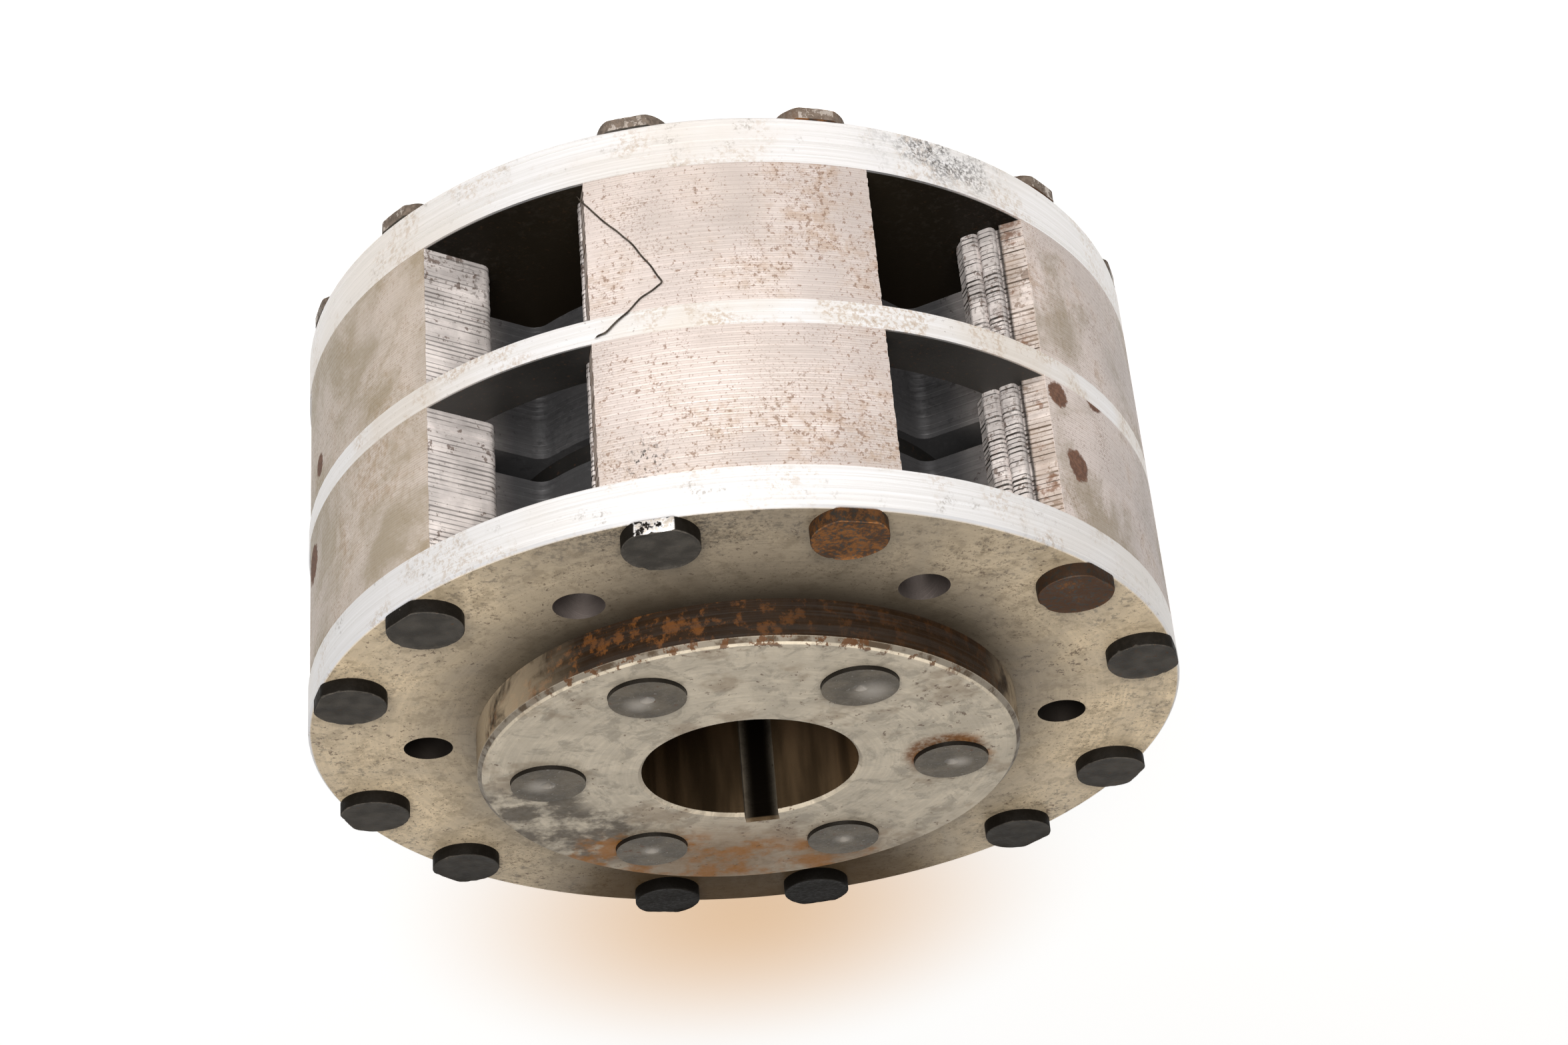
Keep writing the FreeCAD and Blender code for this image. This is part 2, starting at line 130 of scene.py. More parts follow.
# marks that have a place of their own: across, along, level and reach, in millimetres
SHOE_RUST = [
    (-27.9, -28.7, 24.5, 2.6), (-28.9, -27.6, 31.2, 2.9), (38.6, -10.4, 27.0, 3.6),
    (37.7, -13.2, 18.0, 2.4), (-31.8, -24.2, 22.4, 2.4),
]
# painted light on the flange's wall at its two sides
LIT_WALL_PATCHES = [(23.0, -9.0, 43.0, 15.0), (-24.0, -6.0, 43.0, 9.0)]
RIM_SCUFF = ((-19.5, -35.0, 2.4), 9.5)
SHOE_PITS = ((8.6, -39.1, 35.4), 3.4)
FRONT_DIRT = ((9.0, -37.5, 41.0), 13.0)
# dark oil with a painted shade at the back of the plate
OIL_AND_SHADE_POOL = ((-1.0, 41.0, 41.0), 32.0)
RIVET_CRESCENT = ((-17.9, -1.3, HUB_TOP), 4.8)

# marks on the hub's face and on its rivets' heads: across, along and reach
HUB_SMEARS = [(17.0, 13.0, 11.0), (20.5, 6.0, 8.0)]
HUB_ORANGE = [(7.8, 19.2, 9.0), (0.5, 21.5, 9.0), (-8.4, 19.5, 6.5), (-18.5, -1.0, 5.5), (13.0, 17.0, 6.5)]
HUB_BROWN = [(3.0, 20.5, 14.0), (-8.0, 19.5, 9.0)]
# painted highlights on the hub rivets' heads: across, along and reach
GLINT_MIDDLES = [
    (10.0, -15.2, 1.9), (-10.4, -15.3, 2.5), (-19.3, 0.1, 1.5),
    (19.3, 0.1, 1.9), (9.3, 16.0, 1.3), (-9.3, 16.0, 1.3),
]

# distances from the axis where a finish starts and where it is full, in millimetres
# where the keyway's painted shade starts and where it is full
KEYWAY_FROM = (10.04, 10.12)
BORE_UP_TO = (11.75, 11.55)
# the painted shade round the hub's foot: full near the hub, gone further out
PLATE_FOOT_SHADE = (23.6, 35.0)
PLATE_EDGE = (27.5, 37.0)
# the legs' painted shade: full near the axis, gone further out
LEG_SHADE_UP_TO = (26.0, 32.5)
SHOE_FROM = (30.5, 32.0)
VALLEY_FROM = (32.4, 32.8)
NOTCH_FROM = (37.35, 37.6)
NOTCH_UP_TO = (38.05, 38.3)
LAND_FROM = (37.9, 38.2)
LAND_RUST_FROM = (37.4, 38.1)
HEAD_EDGE = (2.6, 3.25)

# where a stray fibre lies on the front pole: angle in degrees and level in millimetres
FIBRE = [
    (-71.11, 7.54), (-72.82, 9.39), (-75.47, 11.78), (-77.37, 13.35), (-78.74, 15.02), (-80.09, 16.65),
    (-81.18, 18.23), (-78.64, 19.34), (-76.57, 20.67), (-73.97, 22.14), (-72.42, 22.61),
]
FIBRE_RADIUS = 0.08
FIBRE_ROWS = 141
FIBRE_SIDES = 8

# rust and wear of each rivet: orange share, brown share, wear of the edge, bare metal at the rim
RIVET_RUST = {
    1: (0.95, 0.9, 0.5, 0.15), 2: (0.0, 0.05, 1.0, 0.85), 3: (0.0, 0.1, 0.5, 0.35),
    4: (0.05, 0.1, 0.4, 0.2), 5: (0.0, 0.1, 0.4, 0.3), 6: (0.0, 0.15, 0.3, 0.2),
    7: (0.0, 0.1, 0.4, 0.3), 8: (0.0, 0.05, 0.3, 0.2), 9: (0.0, 0.1, 0.4, 0.3),
    10: (0.0, 0.2, 0.5, 0.2), 11: (0.0, 0.25, 0.6, 0.2), 12: (0.4, 0.85, 0.5, 0.15),
}

# the camera, in millimetres, and how far it is tipped, in radians
CAMERA_PLACE = (12.40, -234.30, 155.885)
CAMERA_AIM = (-5.13, -0.27, 19.255)
CAMERA_TIP = -0.0922
SENSOR_WIDTH = 36.0

# the floor: lines of its grid each way, its drop below the part, and what the camera sees it give off
FLOOR_LINES = 9
FLOOR_DROP = 0.02
FLOOR_WORN = (0.7, 0.68, 0.64)
FLOOR_GLOW = 0.68
DISTANT_GLOW = 0.35
MIRRORED_GLOW = 0.45
WHITE = (1.0, 1.0, 1.0)

# the painted warm shadow on the floor behind the part, in millimetres
WARM_SHADOW_PLACE = (-4.0, 144.0, 0.0)
WARM_SHADOW_REACH = 54.0
WARM_SHADOW_STRETCH = (1.0, 0.85, 1.0)
WARM_SHADOW_GLOW = 0.53
WARM_SHADOW_COLOUR = (0.90, 0.51, 0.19)


# ------------------------------------------------------------------- properties


class PoleSheetSizes(PropertyGroup):
    """Sizes of the six-pole sheets, in millimetres."""

    sheet: FloatProperty(name="Sheet", description="Thickness of one sheet", default=0.465, min=0.1)
    half_leg: FloatProperty(name="Half leg", description="Half the width of a pole's leg", default=5.2)
    leg_fillet: FloatProperty(name="Leg corner", description="Radius where leg and shoe meet", default=1.5)
    yoke: FloatProperty(
        name="Yoke radius", description="Radius of the ring that joins the legs", default=23.5,
    )
    seat: FloatProperty(
        name="Seat radius", description="Radius of the hole round the hub barrel", default=14.05,
    )
    shoe_depth: FloatProperty(name="Shoe depth", description="Radial depth of a pole shoe", default=8.8)
    plain_side: FloatProperty(
        name="Plain side", description="Distance of the plain side from the pole line", default=12.3,
    )
    plain_corner: FloatProperty(
        name="Plain corner", description="Radius of the plain side's inner corner", default=1.0,
    )
    beaded_side: FloatProperty(
        name="Beaded side", description="Distance of the beaded side from the pole line", default=12.5,
    )
    bead_width: FloatProperty(name="Bead width", description="Radial width of one bead", default=1.7)
    bead_rise: FloatProperty(name="Bead rise", description="How far a bead stands out", default=0.47)
    bead_inset: FloatProperty(
        name="Bead inset", description="Distance of the outer bead from the rim", default=4.6,
    )
    notch_width: FloatProperty(
        name="Notch width", description="Width of the notch over the beads", default=0.5,
    )
    notch_depth: FloatProperty(
        name="Notch depth", description="Depth of the notch over the beads", default=0.6,
    )
    land_rise: FloatProperty(
        name="Land rise", description="How far the land stands past the beaded side", default=0.2,
    )
    land_taper: FloatProperty(
        name="Land taper", description="How far the land falls back at the rim", default=0.3,
    )
    corner_cut: FloatProperty(
        name="Corner cut", description="Cut of the beaded side's inner corner", default=0.8,
    )
    side_groove: FloatProperty(
        name="Side groove", description="Depth between sheets on the sides", default=0.045,
    )
    rim_groove: FloatProperty(
        name="Rim groove", description="Depth between sheets on the turned rim", default=0.008,
    )
    stagger: FloatProperty(
        name="Stagger", description="Largest turn of a sheet against its neighbours, in degrees",
        default=0.06,
    )


class RivetSizes(PropertyGroup):
    """Sizes of the twelve pole rivets, in millimetres."""

    shank: FloatProperty(name="Shank radius", description="Radius of the shank", default=2.0)
    head: FloatProperty(name="Head radius", description="Radius of a flattened head", default=3.3)
    out: FloatProperty(
        name="Distance out", description="Distance of the rivets from the axis", default=37.1,
    )
    half_angle: FloatProperty(
        name="Half angle", description="Angle of a rivet from its pole line, in degrees", default=11.97,
    )
    edge: FloatProperty(name="Edge", description="Least width of a head's worn edge", default=0.10)
    chip: FloatProperty(name="Chip", description="Largest chip out of a head's edge", default=0.32)
    seed: IntProperty(name="Seed", description="Start of the draws that shape the chips", default=40)


class FinishColours(PropertyGroup):
    """Colours of the metal, its rust and its dirt."""

    bright: FloatVectorProperty(
        name="Bright steel", description="Freshly turned rims", subtype="COLOR", size=3,
        default=(0.715, 0.71, 0.725),
    )
    face: FloatVectorProperty(
        name="Plate face", description="Dull faces of the end plates", subtype="COLOR", size=3,
        default=(0.47, 0.385, 0.275),
    )
    # painted shade: the faces inside the slots get a near black colour that stands for the shade there
    inner: FloatVectorProperty(
        name="Inner face", description="Dull faces inside the slots", subtype="COLOR", size=3,
        default=(0.006, 0.0055, 0.005),
    )
    sheet: FloatVectorProperty(
        name="Sheet rim", description="Turned rims of the sheets", subtype="COLOR", size=3,
        default=(0.445, 0.39, 0.368),
    )
    side: FloatVectorProperty(
        name="Sheet side", description="Stamped sides of the sheets", subtype="COLOR", size=3,
        default=(0.70, 0.645, 0.625),
    )
    charcoal: FloatVectorProperty(
        name="Charcoal", description="Scaled rivet heads", subtype="COLOR", size=3,
        default=(0.048, 0.043, 0.037),
    )
    hub: FloatVectorProperty(
        name="Hub face", description="Face of the hub flange", subtype="COLOR", size=3,
        default=(0.50, 0.435, 0.34),
    )
    hub_rivet: FloatVectorProperty(
        name="Hub rivet", description="Heads of the hub rivets", subtype="COLOR", size=3,
        default=(0.068, 0.055, 0.038),
    )
    bore: FloatVectorProperty(
        name="Bore", description="Wall of the bore", subtype="COLOR", size=3, default=(0.36, 0.25, 0.15),
    )
    orange: FloatVectorProperty(
        name="Orange rust", description="Fresh rust", subtype="COLOR", size=3, default=(0.33, 0.135, 0.040),
    )
    brown: FloatVectorProperty(
        name="Brown rust", description="Old rust", subtype="COLOR", size=3, default=(0.085, 0.042, 0.022),
    )
    tan: FloatVectorProperty(
        name="Tan stain", description="Dried oil on the rims", subtype="COLOR", size=3,
        default=(0.55, 0.45, 0.33),
    )
    grime: FloatVectorProperty(
        name="Grime", description="Dirt in corners and scratches", subtype="COLOR", size=3,
        default=(0.035, 0.031, 0.028),
    )


class StageSettings(PropertyGroup):
    """The floor, the lamps and the camera."""

    floor: FloatVectorProperty(
        name="Floor", description="Colour of the floor", subtype="COLOR", size=3, default=(0.84, 0.83, 0.81),
    )
    half_width: FloatProperty(
        name="Half width", description="Half the side of the floor", default=1.6, unit="LENGTH",
    )
    key: FloatProperty(
        name="Key lamp", description="Power of the broad raised lamp in front", default=3.3, min=0.0,
    )
    low: FloatProperty(
        name="Low lamp", description="Power of the long low lamp in front", default=0.22, min=0.0,
    )
    near: FloatProperty(
        name="Near lamp", description="Power of the small lamp close in front", default=0.5, min=0.0,
    )
    sky: FloatProperty(
        name="Room light", description="Strength of the light from all round", default=0.19, min=0.0,
    )
    lens: FloatProperty(name="Lens", description="Focal length of the camera in millimetres", default=64.8)


GROUPS = {
    "lamination_sheets": PoleSheetSizes,
    "lamination_rivets": RivetSizes,
    "lamination_colours": FinishColours,
    "lamination_stage": StageSettings,
}


# ------------------------------------------------------------------ node helper


class Finish:
    """Lays out the nodes of one material, in millimetres of the part's own frame."""

    def __init__(self, name):
        self.material = bpy.data.materials.new(name)
        self.material.use_nodes = True
        self.tree = self.material.node_tree
        self.tree.nodes.clear()
        self.output = self.tree.nodes.new("ShaderNodeOutputMaterial")
        self.shader = self.tree.nodes.new("ShaderNodeBsdfPrincipled")
        self.join(self.shader.outputs[0], self.output.inputs[0])
        coordinates = self.tree.nodes.new("ShaderNodeTexCoord")
        self.normal = coordinates.outputs["Normal"]
        self.place = self.vector("SCALE", coordinates.outputs["Object"], scale=1 / MM)
        split = self.tree.nodes.new("ShaderNodeSeparateXYZ")
        self.join(self.place, split.inputs[0])
        self.x, self.y, self.z = split.outputs
        flat = self.vector("MULTIPLY", self.place, (1, 1, 0))
        self.radius = self.vector("LENGTH", flat)
        self.spoke = self.vector("NORMALIZE", flat)
        self.tangent = self.vector("CROSS_PRODUCT", (0, 0, 1), self.spoke)
        up = self.tree.nodes.new("ShaderNodeSeparateXYZ")
        self.join(self.normal, up.inputs[0])
        self.up = up.outputs[2]

    def join(self, source, target):
        """Links an output to an input, or sets the input to a constant."""
        if isinstance(source, bpy.types.NodeSocket):
            self.tree.links.new(source, target)
        else:
            target.default_value = source

    def math(self, operation, a, b=0.0):
        """One step of arithmetic."""
        node = self.tree.nodes.new("ShaderNodeMath")
        node.operation = operation
        self.join(a, node.inputs[0])
        self.join(b, node.inputs[1])
        return node.outputs[0]

    def vector(self, operation, a, b=None, scale=None):
        """One step of vector arithmetic."""
        node = self.tree.nodes.new("ShaderNodeVectorMath")
        node.operation = operation
        self.join(a, node.inputs[0])
        if b is not None:
            self.join(b, node.inputs[1])
        if scale is not None:
            self.join(scale, node.inputs["Scale"])
        return node.outputs["Value" if operation in ("LENGTH", "DOT_PRODUCT") else "Vector"]

    def steps(self, value, low, high, start=0.0, end=1.0):
        """A soft step of a value: start below low, end above high."""
        node = self.tree.nodes.new("ShaderNodeMapRange")
        node.interpolation_type = "SMOOTHSTEP"
        for source, target in zip((value, low, high, start, end), node.inputs):
            self.join(source, target)
        return node.outputs[0]

    def noise(self, scale, detail=4.0, roughness=0.6, where=None, stretch=None, distortion=0.0):
        """Noise with a number of lumps per millimetre, stretched where asked."""
        where = self.place if where is None else where
        if stretch is not None:
            where = self.vector("MULTIPLY", where, stretch)
        node = self.tree.nodes.new("ShaderNodeTexNoise")
        self.join(where, node.inputs["Vector"])
        node.inputs["Scale"].default_value = scale
        node.inputs["Detail"].default_value = detail
        node.inputs["Roughness"].default_value = roughness
        node.inputs["Distortion"].default_value = distortion
        return node.outputs[0]

    def mix(self, factor, a, b, blend="MIX"):
        """Mixes two colours."""
        node = self.tree.nodes.new("ShaderNodeMix")
        node.data_type = "RGBA"
        node.blend_type = blend
        self.join(factor, node.inputs[0])
        for source, target in ((a, node.inputs[6]), (b, node.inputs[7])):
            self.join(source if isinstance(source, bpy.types.NodeSocket) else (*source, 1.0), target)
        return node.outputs[2]

    def lay(self, base, mask, colour, most=1.0):
        """Lays a colour over another where a mask says, at most by a share."""
        return self.mix(mask if most == 1.0 else self.product(mask, most), base, colour)

    def tint(self, base, colour):
        """Multiplies a colour by another."""
        return self.mix(1.0, base, colour, "MULTIPLY")

    def blend(self, factor, a, b):
        """Mixes two numbers."""
        node = self.tree.nodes.new("ShaderNodeMix")
        self.join(factor, node.inputs[0])
        self.join(a, node.inputs[2])
        self.join(b, node.inputs[3])
        return node.outputs[0]

    def most(self, *values):
        """The largest of some masks."""
        result = values[0]
        for value in values[1:]:
            result = self.math("MAXIMUM", result, value)
        return result

    def product(self, *values):
        """The product of some masks."""
        result = values[0]
        for value in values[1:]:
            result = self.math("MULTIPLY", result, value)
        return result

    def total(self, a, b):
        """The sum of two values."""
        return self.math("ADD", a, b)

    def rest(self, mask):
        """One less a mask."""
        return self.math("SUBTRACT", 1.0, mask)

    def upright(self, low, high):
        """Surfaces that stand upright: one below the low share of up, none above the high."""
        return self.steps(self.math("ABSOLUTE", self.up), low, high, 1.0, 0.0)

    def patch(self, centre, reach, stretch=(1, 1, 1)):
        """A soft round patch about a point, fading to nothing at its reach."""
        away = self.vector("MULTIPLY", self.vector("SUBTRACT", self.place, centre), stretch)
        return self.steps(self.vector("LENGTH", away), 0.0, reach, 1.0, 0.0)

    def patches(self, spots):
        """Several patches together, each a centre and a reach."""
        return self.most(*[self.patch(spot[:3], spot[3]) for spot in spots])

    def level_patches(self, spots, level):
        """Several patches at one level, each a place across and along and a reach."""
        return self.patches([(across, along, level, reach) for across, along, reach in spots])

    def turned(self, density, detail=3.0):
        """Noise in rings: rings round the axis on a rim, circles on a face."""
        depth = self.product(self.total(self.radius, self.z), density)
        ring = self.tree.nodes.new("ShaderNodeCombineXYZ")
        self.join(depth, ring.inputs[2])
        where = self.vector("ADD", self.vector("SCALE", self.spoke, scale=1.1), ring.outputs[0])
        return self.noise(1.0, detail, 0.65, where)

    def speckle(self, scale, least, spread=None, soft=0.05):
        """Small specks where fine noise passes a level, thicker where spread is high."""
        fine = self.noise(scale, 3.0, 0.7)
        if spread is not None:
            fine = self.total(fine, self.product(self.math("SUBTRACT", spread, 0.5), 0.35))
        return self.steps(fine, least, least + soft)

    def finish(self, colour, roughness, metallic=1.0, bump=None, depth=0.02, gloss=0.3):
        """Sets the shader's inputs; depth is the bump's height in millimetres."""
        sockets = self.shader.inputs
        self.join(colour, sockets["Base Color"])
        self.join(roughness, sockets["Roughness"])
        self.join(metallic, sockets["Metallic"])
        self.join(gloss, sockets["Specular IOR Level"])
        if bump is not None:
            node = self.tree.nodes.new("ShaderNodeBump")
            node.inputs["Strength"].default_value = 1.0
            node.inputs["Distance"].default_value = depth * MM
            self.join(bump, node.inputs["Height"])
            self.join(node.outputs[0], sockets["Normal"])
        return self.material


# ------------------------------------------------------------------ mesh helpers


def make_mesh(name, points, faces, replaced, sharp=32.0):
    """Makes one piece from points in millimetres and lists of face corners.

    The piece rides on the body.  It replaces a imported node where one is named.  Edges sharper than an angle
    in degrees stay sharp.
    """
    corners = [face for rows in faces for face in rows.tolist()]
    mesh = bpy.data.meshes.new(name)
    mesh.from_pydata((np.asarray(points) * MM).tolist(), [], corners)
    mesh.update()
    mesh.polygons.foreach_set("use_smooth", np.ones(len(mesh.polygons), bool))
    mesh.set_sharp_from_angle(angle=math.radians(sharp))
    piece = bpy.data.objects.new(name, mesh)
    bpy.context.scene.collection.objects.link(piece)
    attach(piece, BODY)
    if replaced:
        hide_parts(replaced)
    return piece


def grid_faces(rows, columns, start=0):
    """Corners of a grid's faces, closed round each row, row by row going up."""
    row, column = np.meshgrid(np.arange(rows - 1), np.arange(columns), indexing="ij")
    along = (column + 1) % columns
    near, far = row * columns, (row + 1) * columns
    corners = [near + column, near + along, far + along, far + column]
    return np.stack(corners, -1).reshape(-1, 4) + start


def arc(centre, radius, first, last, count):
    """Points on an arc: the centre plus the radius times cosine and sine of an even run of angles."""
    angles = np.linspace(first, last, count)
    return np.stack([centre[0] + radius * np.cos(angles), centre[1] + radius * np.sin(angles)], -1)


def round_steps(count):
    """Even angles once round a circle."""
    return np.linspace(0, 2 * math.pi, count, endpoint=False)


def run(first, last, count):
    """Even points on a straight line, without its ends."""
    share = np.linspace(0, 1, count + 2)[1:-1, None]
    return np.asarray(first) * (1 - share) + np.asarray(last) * share


def spin(angle):
    """The matrix that turns rows of points about the axis: cosine, sine and less the sine, cosine."""
    return np.array([[math.cos(angle), math.sin(angle)], [-math.sin(angle), math.cos(angle)]])


def set_finish(node, material):
    """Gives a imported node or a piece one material."""
    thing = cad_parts[node] if isinstance(node, str) else node
    thing.data.materials.clear()
    thing.data.materials.append(material)


# ------------------------------------------------------------------- the sheets


def bead(side, low, width, rise, count):
    """A bead on the beaded side, from its outer end to its inner end.

    It stands out by its rise times one less the sixth power of the distance from its
    middle, and its points crowd towards its ends as a sine does.
    """
    share = np.sin(np.linspace(1, -1, count) * math.pi / 2)
    return np.stack([-side - rise * (1 - np.abs(share) ** 6), low + width * (1 + share) / 2], -1)


def pole_outline(sizes):
    """One pole's outline, across and out, anticlockwise from the root of its plain side.

    The yoke meets the leg in a fillet, the leg meets the shoe in another, the rim is an
    arc about the axis, and the beaded side is a land, a notch, two beads and a cut corner.
    """
    s = sizes
    rim = OUTER_RADIUS
    under = rim - s.shoe_depth
    fillet = s.leg_fillet
    quarter = math.pi / 2
    # centre of the fillet between the yoke's circle and the leg's side
    root_across = s.half_leg + fillet
    root_out = math.sqrt((s.yoke + fillet) ** 2 - root_across ** 2)
    turn = math.atan2(root_out, root_across)
    root = arc((root_across, root_out), fillet, turn + math.pi, math.pi, FILLET_POINTS)
    neck = arc((root_across, under - fillet), fillet, math.pi, quarter, FILLET_POINTS)
    centre = (s.plain_side - s.plain_corner, under + s.plain_corner)
    corner = arc(centre, s.plain_corner, -quarter, 0, CORNER_POINTS)
    land = s.beaded_side + s.land_rise
    first = math.asin(s.plain_side / rim)
    last = math.asin((land - s.land_taper) / rim)
    crown = arc((0, 0), rim, quarter - first, quarter + last, CROWN_POINTS)
    upper = rim - s.bead_inset
    above = upper + s.notch_width
    floor = land - s.notch_depth
    valley = upper - s.bead_width
    notch = np.array([(-land, above), (-floor, above), (-floor, upper)])
    outer = bead(s.beaded_side, valley, s.bead_width, s.bead_rise, BEAD_POINTS)
    inner = bead(s.beaded_side, valley - s.bead_width, s.bead_width, s.bead_rise, BEAD_POINTS)
    foot = np.array([(-s.beaded_side + s.corner_cut, under)])
    mirror = np.array([-1, 1])
    sides = [
        root, run(root[-1], neck[0], 2), neck, run(neck[-1], corner[0], 1), corner,
        run(corner[-1], crown[0], 2), crown, run(crown[-1], notch[0], 1), notch,
        outer, inner[1:], foot, (neck * mirror)[::-1],
        run((neck * mirror)[0], (root * mirror)[-1], 2), (root * mirror)[::-1],
    ]
    return np.concatenate(sides)


def sheet_outline(sizes):
    """The whole sheet's outline: the pole's outline turned to each pole, joined by arcs of the yoke."""
    pole = pole_outline(sizes)
    step = 2 * math.pi / POLES
    last = math.atan2(pole[-1][1], pole[-1][0])
    first = math.atan2(pole[0][1], pole[0][0]) + step
    yoke = arc((0, 0), sizes.yoke, last, first, YOKE_POINTS)[1:-1]
    unit = np.concatenate([pole, yoke])
    return np.concatenate([unit @ spin(angle - math.pi / 2) for angle in POLE_ANGLES])


def outward(outline):
    """Unit normals of a closed outline: the way to the next point less the way from the last, turned right."""
    way = np.roll(outline, -1, 0) - np.roll(outline, 1, 0)
    normal = np.stack([way[:, 1], -way[:, 0]], -1)
    return normal / np.linalg.norm(normal, axis=1, keepdims=True)


def stack_points(sizes, low, high, seed):
    """Rows of a stack's wall, from its lowest sheet to its highest.

    Each sheet gives three rows: a row drawn in along the outline's normals where it meets
    the sheet below, and two full rows near its two faces.  A sheet's rows are turned
    about the axis by the sheet's own small angle.  On the turned rim the rows go in less.
    """
    outline = sheet_outline(sizes)
    normal = outward(outline)
    out = np.linalg.norm(outline, axis=1)
    on_rim = out > OUTER_RADIUS - RIM_MARGIN
    on_shoe = out > OUTER_RADIUS - sizes.shoe_depth
    depth = np.where(on_rim, sizes.rim_groove, np.where(on_shoe, sizes.side_groove, LEG_GROOVE))[:, None]
    count = round((high - low) / sizes.sheet)
    pitch = (high - low) / count
    draws = np.random.default_rng(seed)
    angles = np.radians(draws.uniform(-sizes.stagger, sizes.stagger, count))
    reach = draws.uniform(-DRAWN_IN, 0.0, count)
    deep = draws.uniform(*GROOVE_SPREAD, count + 1)
    edge = pitch * BROKEN_EDGE
    rows = []
    heights = []
    for number in range(count):
        full = (outline + normal * np.where(on_rim[:, None], 0.0, reach[number])) @ spin(angles[number])
        groove = outline - normal * depth * deep[number]
        base = low + pitch * number
        rows += [groove, full, full]
        heights += [base, base + edge, base + pitch - edge]
    rows.append(outline - normal * depth * deep[count])
    heights.append(high)
    rows = np.stack(rows)
    heights = np.broadcast_to(np.array(heights)[:, None, None], rows.shape[:2] + (1,))
    return np.concatenate([rows, heights], -1)


def cap_faces(outer, inner, start_outer, start_inner, up):
    """Triangles between an outline and a round hole, all facing up or all facing down.

    A triangle's area is half the cross product of two of its sides, and where its sign is
    the wrong one the triangle's corners are taken in the other order.
    """
    loops = [[Vector((*point, 0)) for point in outer], [Vector((*point, 0)) for point in inner]]
    flat = np.concatenate([outer, inner])
    corners = np.array(tessellate_polygon(loops))
    a, b, c = (flat[corners[:, number]] for number in range(3))
    area = (b - a)[:, 0] * (c - a)[:, 1] - (b - a)[:, 1] * (c - a)[:, 0]
    wrong = (area > 0) != up
    corners[wrong] = corners[wrong][:, ::-1]
    shift = np.where(corners < len(outer), start_outer, start_inner - len(outer))
    return corners + shift


def make_stack(name, node, sizes, seed):
    """A stack of sheets: its wall, the round hole for the barrel and its two end faces."""
    low, high = levels(node)
    wall = stack_points(sizes, low, high, seed)
    rows, columns = wall.shape[:2]
    hole = arc((0, 0), sizes.seat, 0, 2 * math.pi, SEAT_POINTS + 1)[:-1]
    seat = np.concatenate([np.column_stack([hole, np.full(len(hole), level)]) for level in (low, high)])
    points = np.concatenate([wall.reshape(-1, 3), seat])
    seat_start = rows * columns
    faces = [
        grid_faces(rows, columns),
        grid_faces(2, len(hole), seat_start)[:, ::-1],
        cap_faces(wall[0, :, :2], hole, 0, seat_start, False),
        cap_faces(wall[-1, :, :2], hole, (rows - 1) * columns, seat_start + len(hole), True),
    ]
    return make_mesh(name, points, faces, node, 24.0)


# ------------------------------------------------------------------- the rivets


def rounded_draw(draws, count, waves):
    """Smooth closed noise round a circle: a sum of a few sines with drawn sizes and phases."""
    angle = round_steps(RIVET_POINTS)
    wave = np.arange(2, 2 + waves)[:, None]
    size = draws.normal(size=(count, waves, 1)) / np.sqrt(wave)
    phase = draws.uniform(0, 2 * math.pi, (count, waves, 1))
    return (size * np.sin(wave * angle + phase)).sum(1)


def head_rows(sizes, face, seat, limit, uneven, rough, dish, wear):
    """Rows of one head, from the middle of its face to its shank, as a radius and a level at each angle.

    The head's radius is the least of its own, a little uneven, and the way to the rim's
    circle.  Its edge is broken by a width that grows to a chip where a drawn noise is
    high.  The face is dished between its middle and its edge.
    """
    sign = 1 if seat > face else -1
    tall = abs(seat - face)
    chip = np.clip(rough - CHIP_LEVEL, 0, CHIP_SPAN) / CHIP_SPAN * sizes.chip * wear
    edge = sizes.edge * (1 + 0.22 * rough.clip(-1, 1)) + chip
    head = np.minimum(sizes.head * (1 + uneven), limit)
    return [
        # the dished face: a share of the radius, and a share of the dish
        (head * 0.2, face + sign * MIDDLE_DISH),
        (head * 0.5, face + sign * dish * 0.6),
        (head * 0.78, face + sign * dish),
        (head - edge * 1.5, face + sign * dish * 0.6),
        # the broken edge: in from the head's radius and down from its face, by shares of its width
        (head - edge * 0.9, face + sign * edge * 0.12),
        (head - edge * 0.35, face + sign * edge * 0.45),
        (head, face + sign * np.minimum(edge * 1.1, tall * 0.75)),
        # the side, a little rough near its foot, and the step in to the shank
        (head + FOOT_ROUGHNESS * rough, face + sign * tall * 0.82),
        (head, seat),
        (sizes.shank, seat),
    ]


def rivet_points(sizes, centre, seed, wear):
    """Rows of a rivet's two heads and its shank, from its far face to its hub face.

    A point is the rivet's centre plus the way out at its angle times the row's radius,
    which never passes the rim's circle.  The way to that circle is the root of the
    distance equation along the angle.
    """
    draws = np.random.default_rng(seed)
    angle = round_steps(RIVET_POINTS)
    spoke = np.stack([np.cos(angle), np.sin(angle)], -1)
    across = spoke @ centre
    limit = -across + np.sqrt(across ** 2 - centre @ centre + OUTER_RADIUS ** 2) - RIM_CLEARANCE
    uneven = rounded_draw(draws, 2, 5) * HEAD_UNEVEN
    rough = rounded_draw(draws, 2, 26)
    rows = []
    for end, (face, seat) in enumerate(((RIVET_FOOT, FAR_SEAT), (RIVET_TOP, HUB_SEAT))):
        dish = np.maximum(DISH_DEPTH + DISH_SPREAD * rounded_draw(draws, 1, 4)[0], LEAST_DISH)
        head = head_rows(sizes, face, seat, limit, uneven[end], rough[end], dish, wear)
        rows += head if end == 0 else head[::-1]
    points = np.empty((len(rows), RIVET_POINTS, 3))
    for row, (radius, height) in zip(points, rows):
        row[:, :2] = centre + spoke * np.minimum(radius, limit)[:, None]
        row[:, 2] = height
    return points


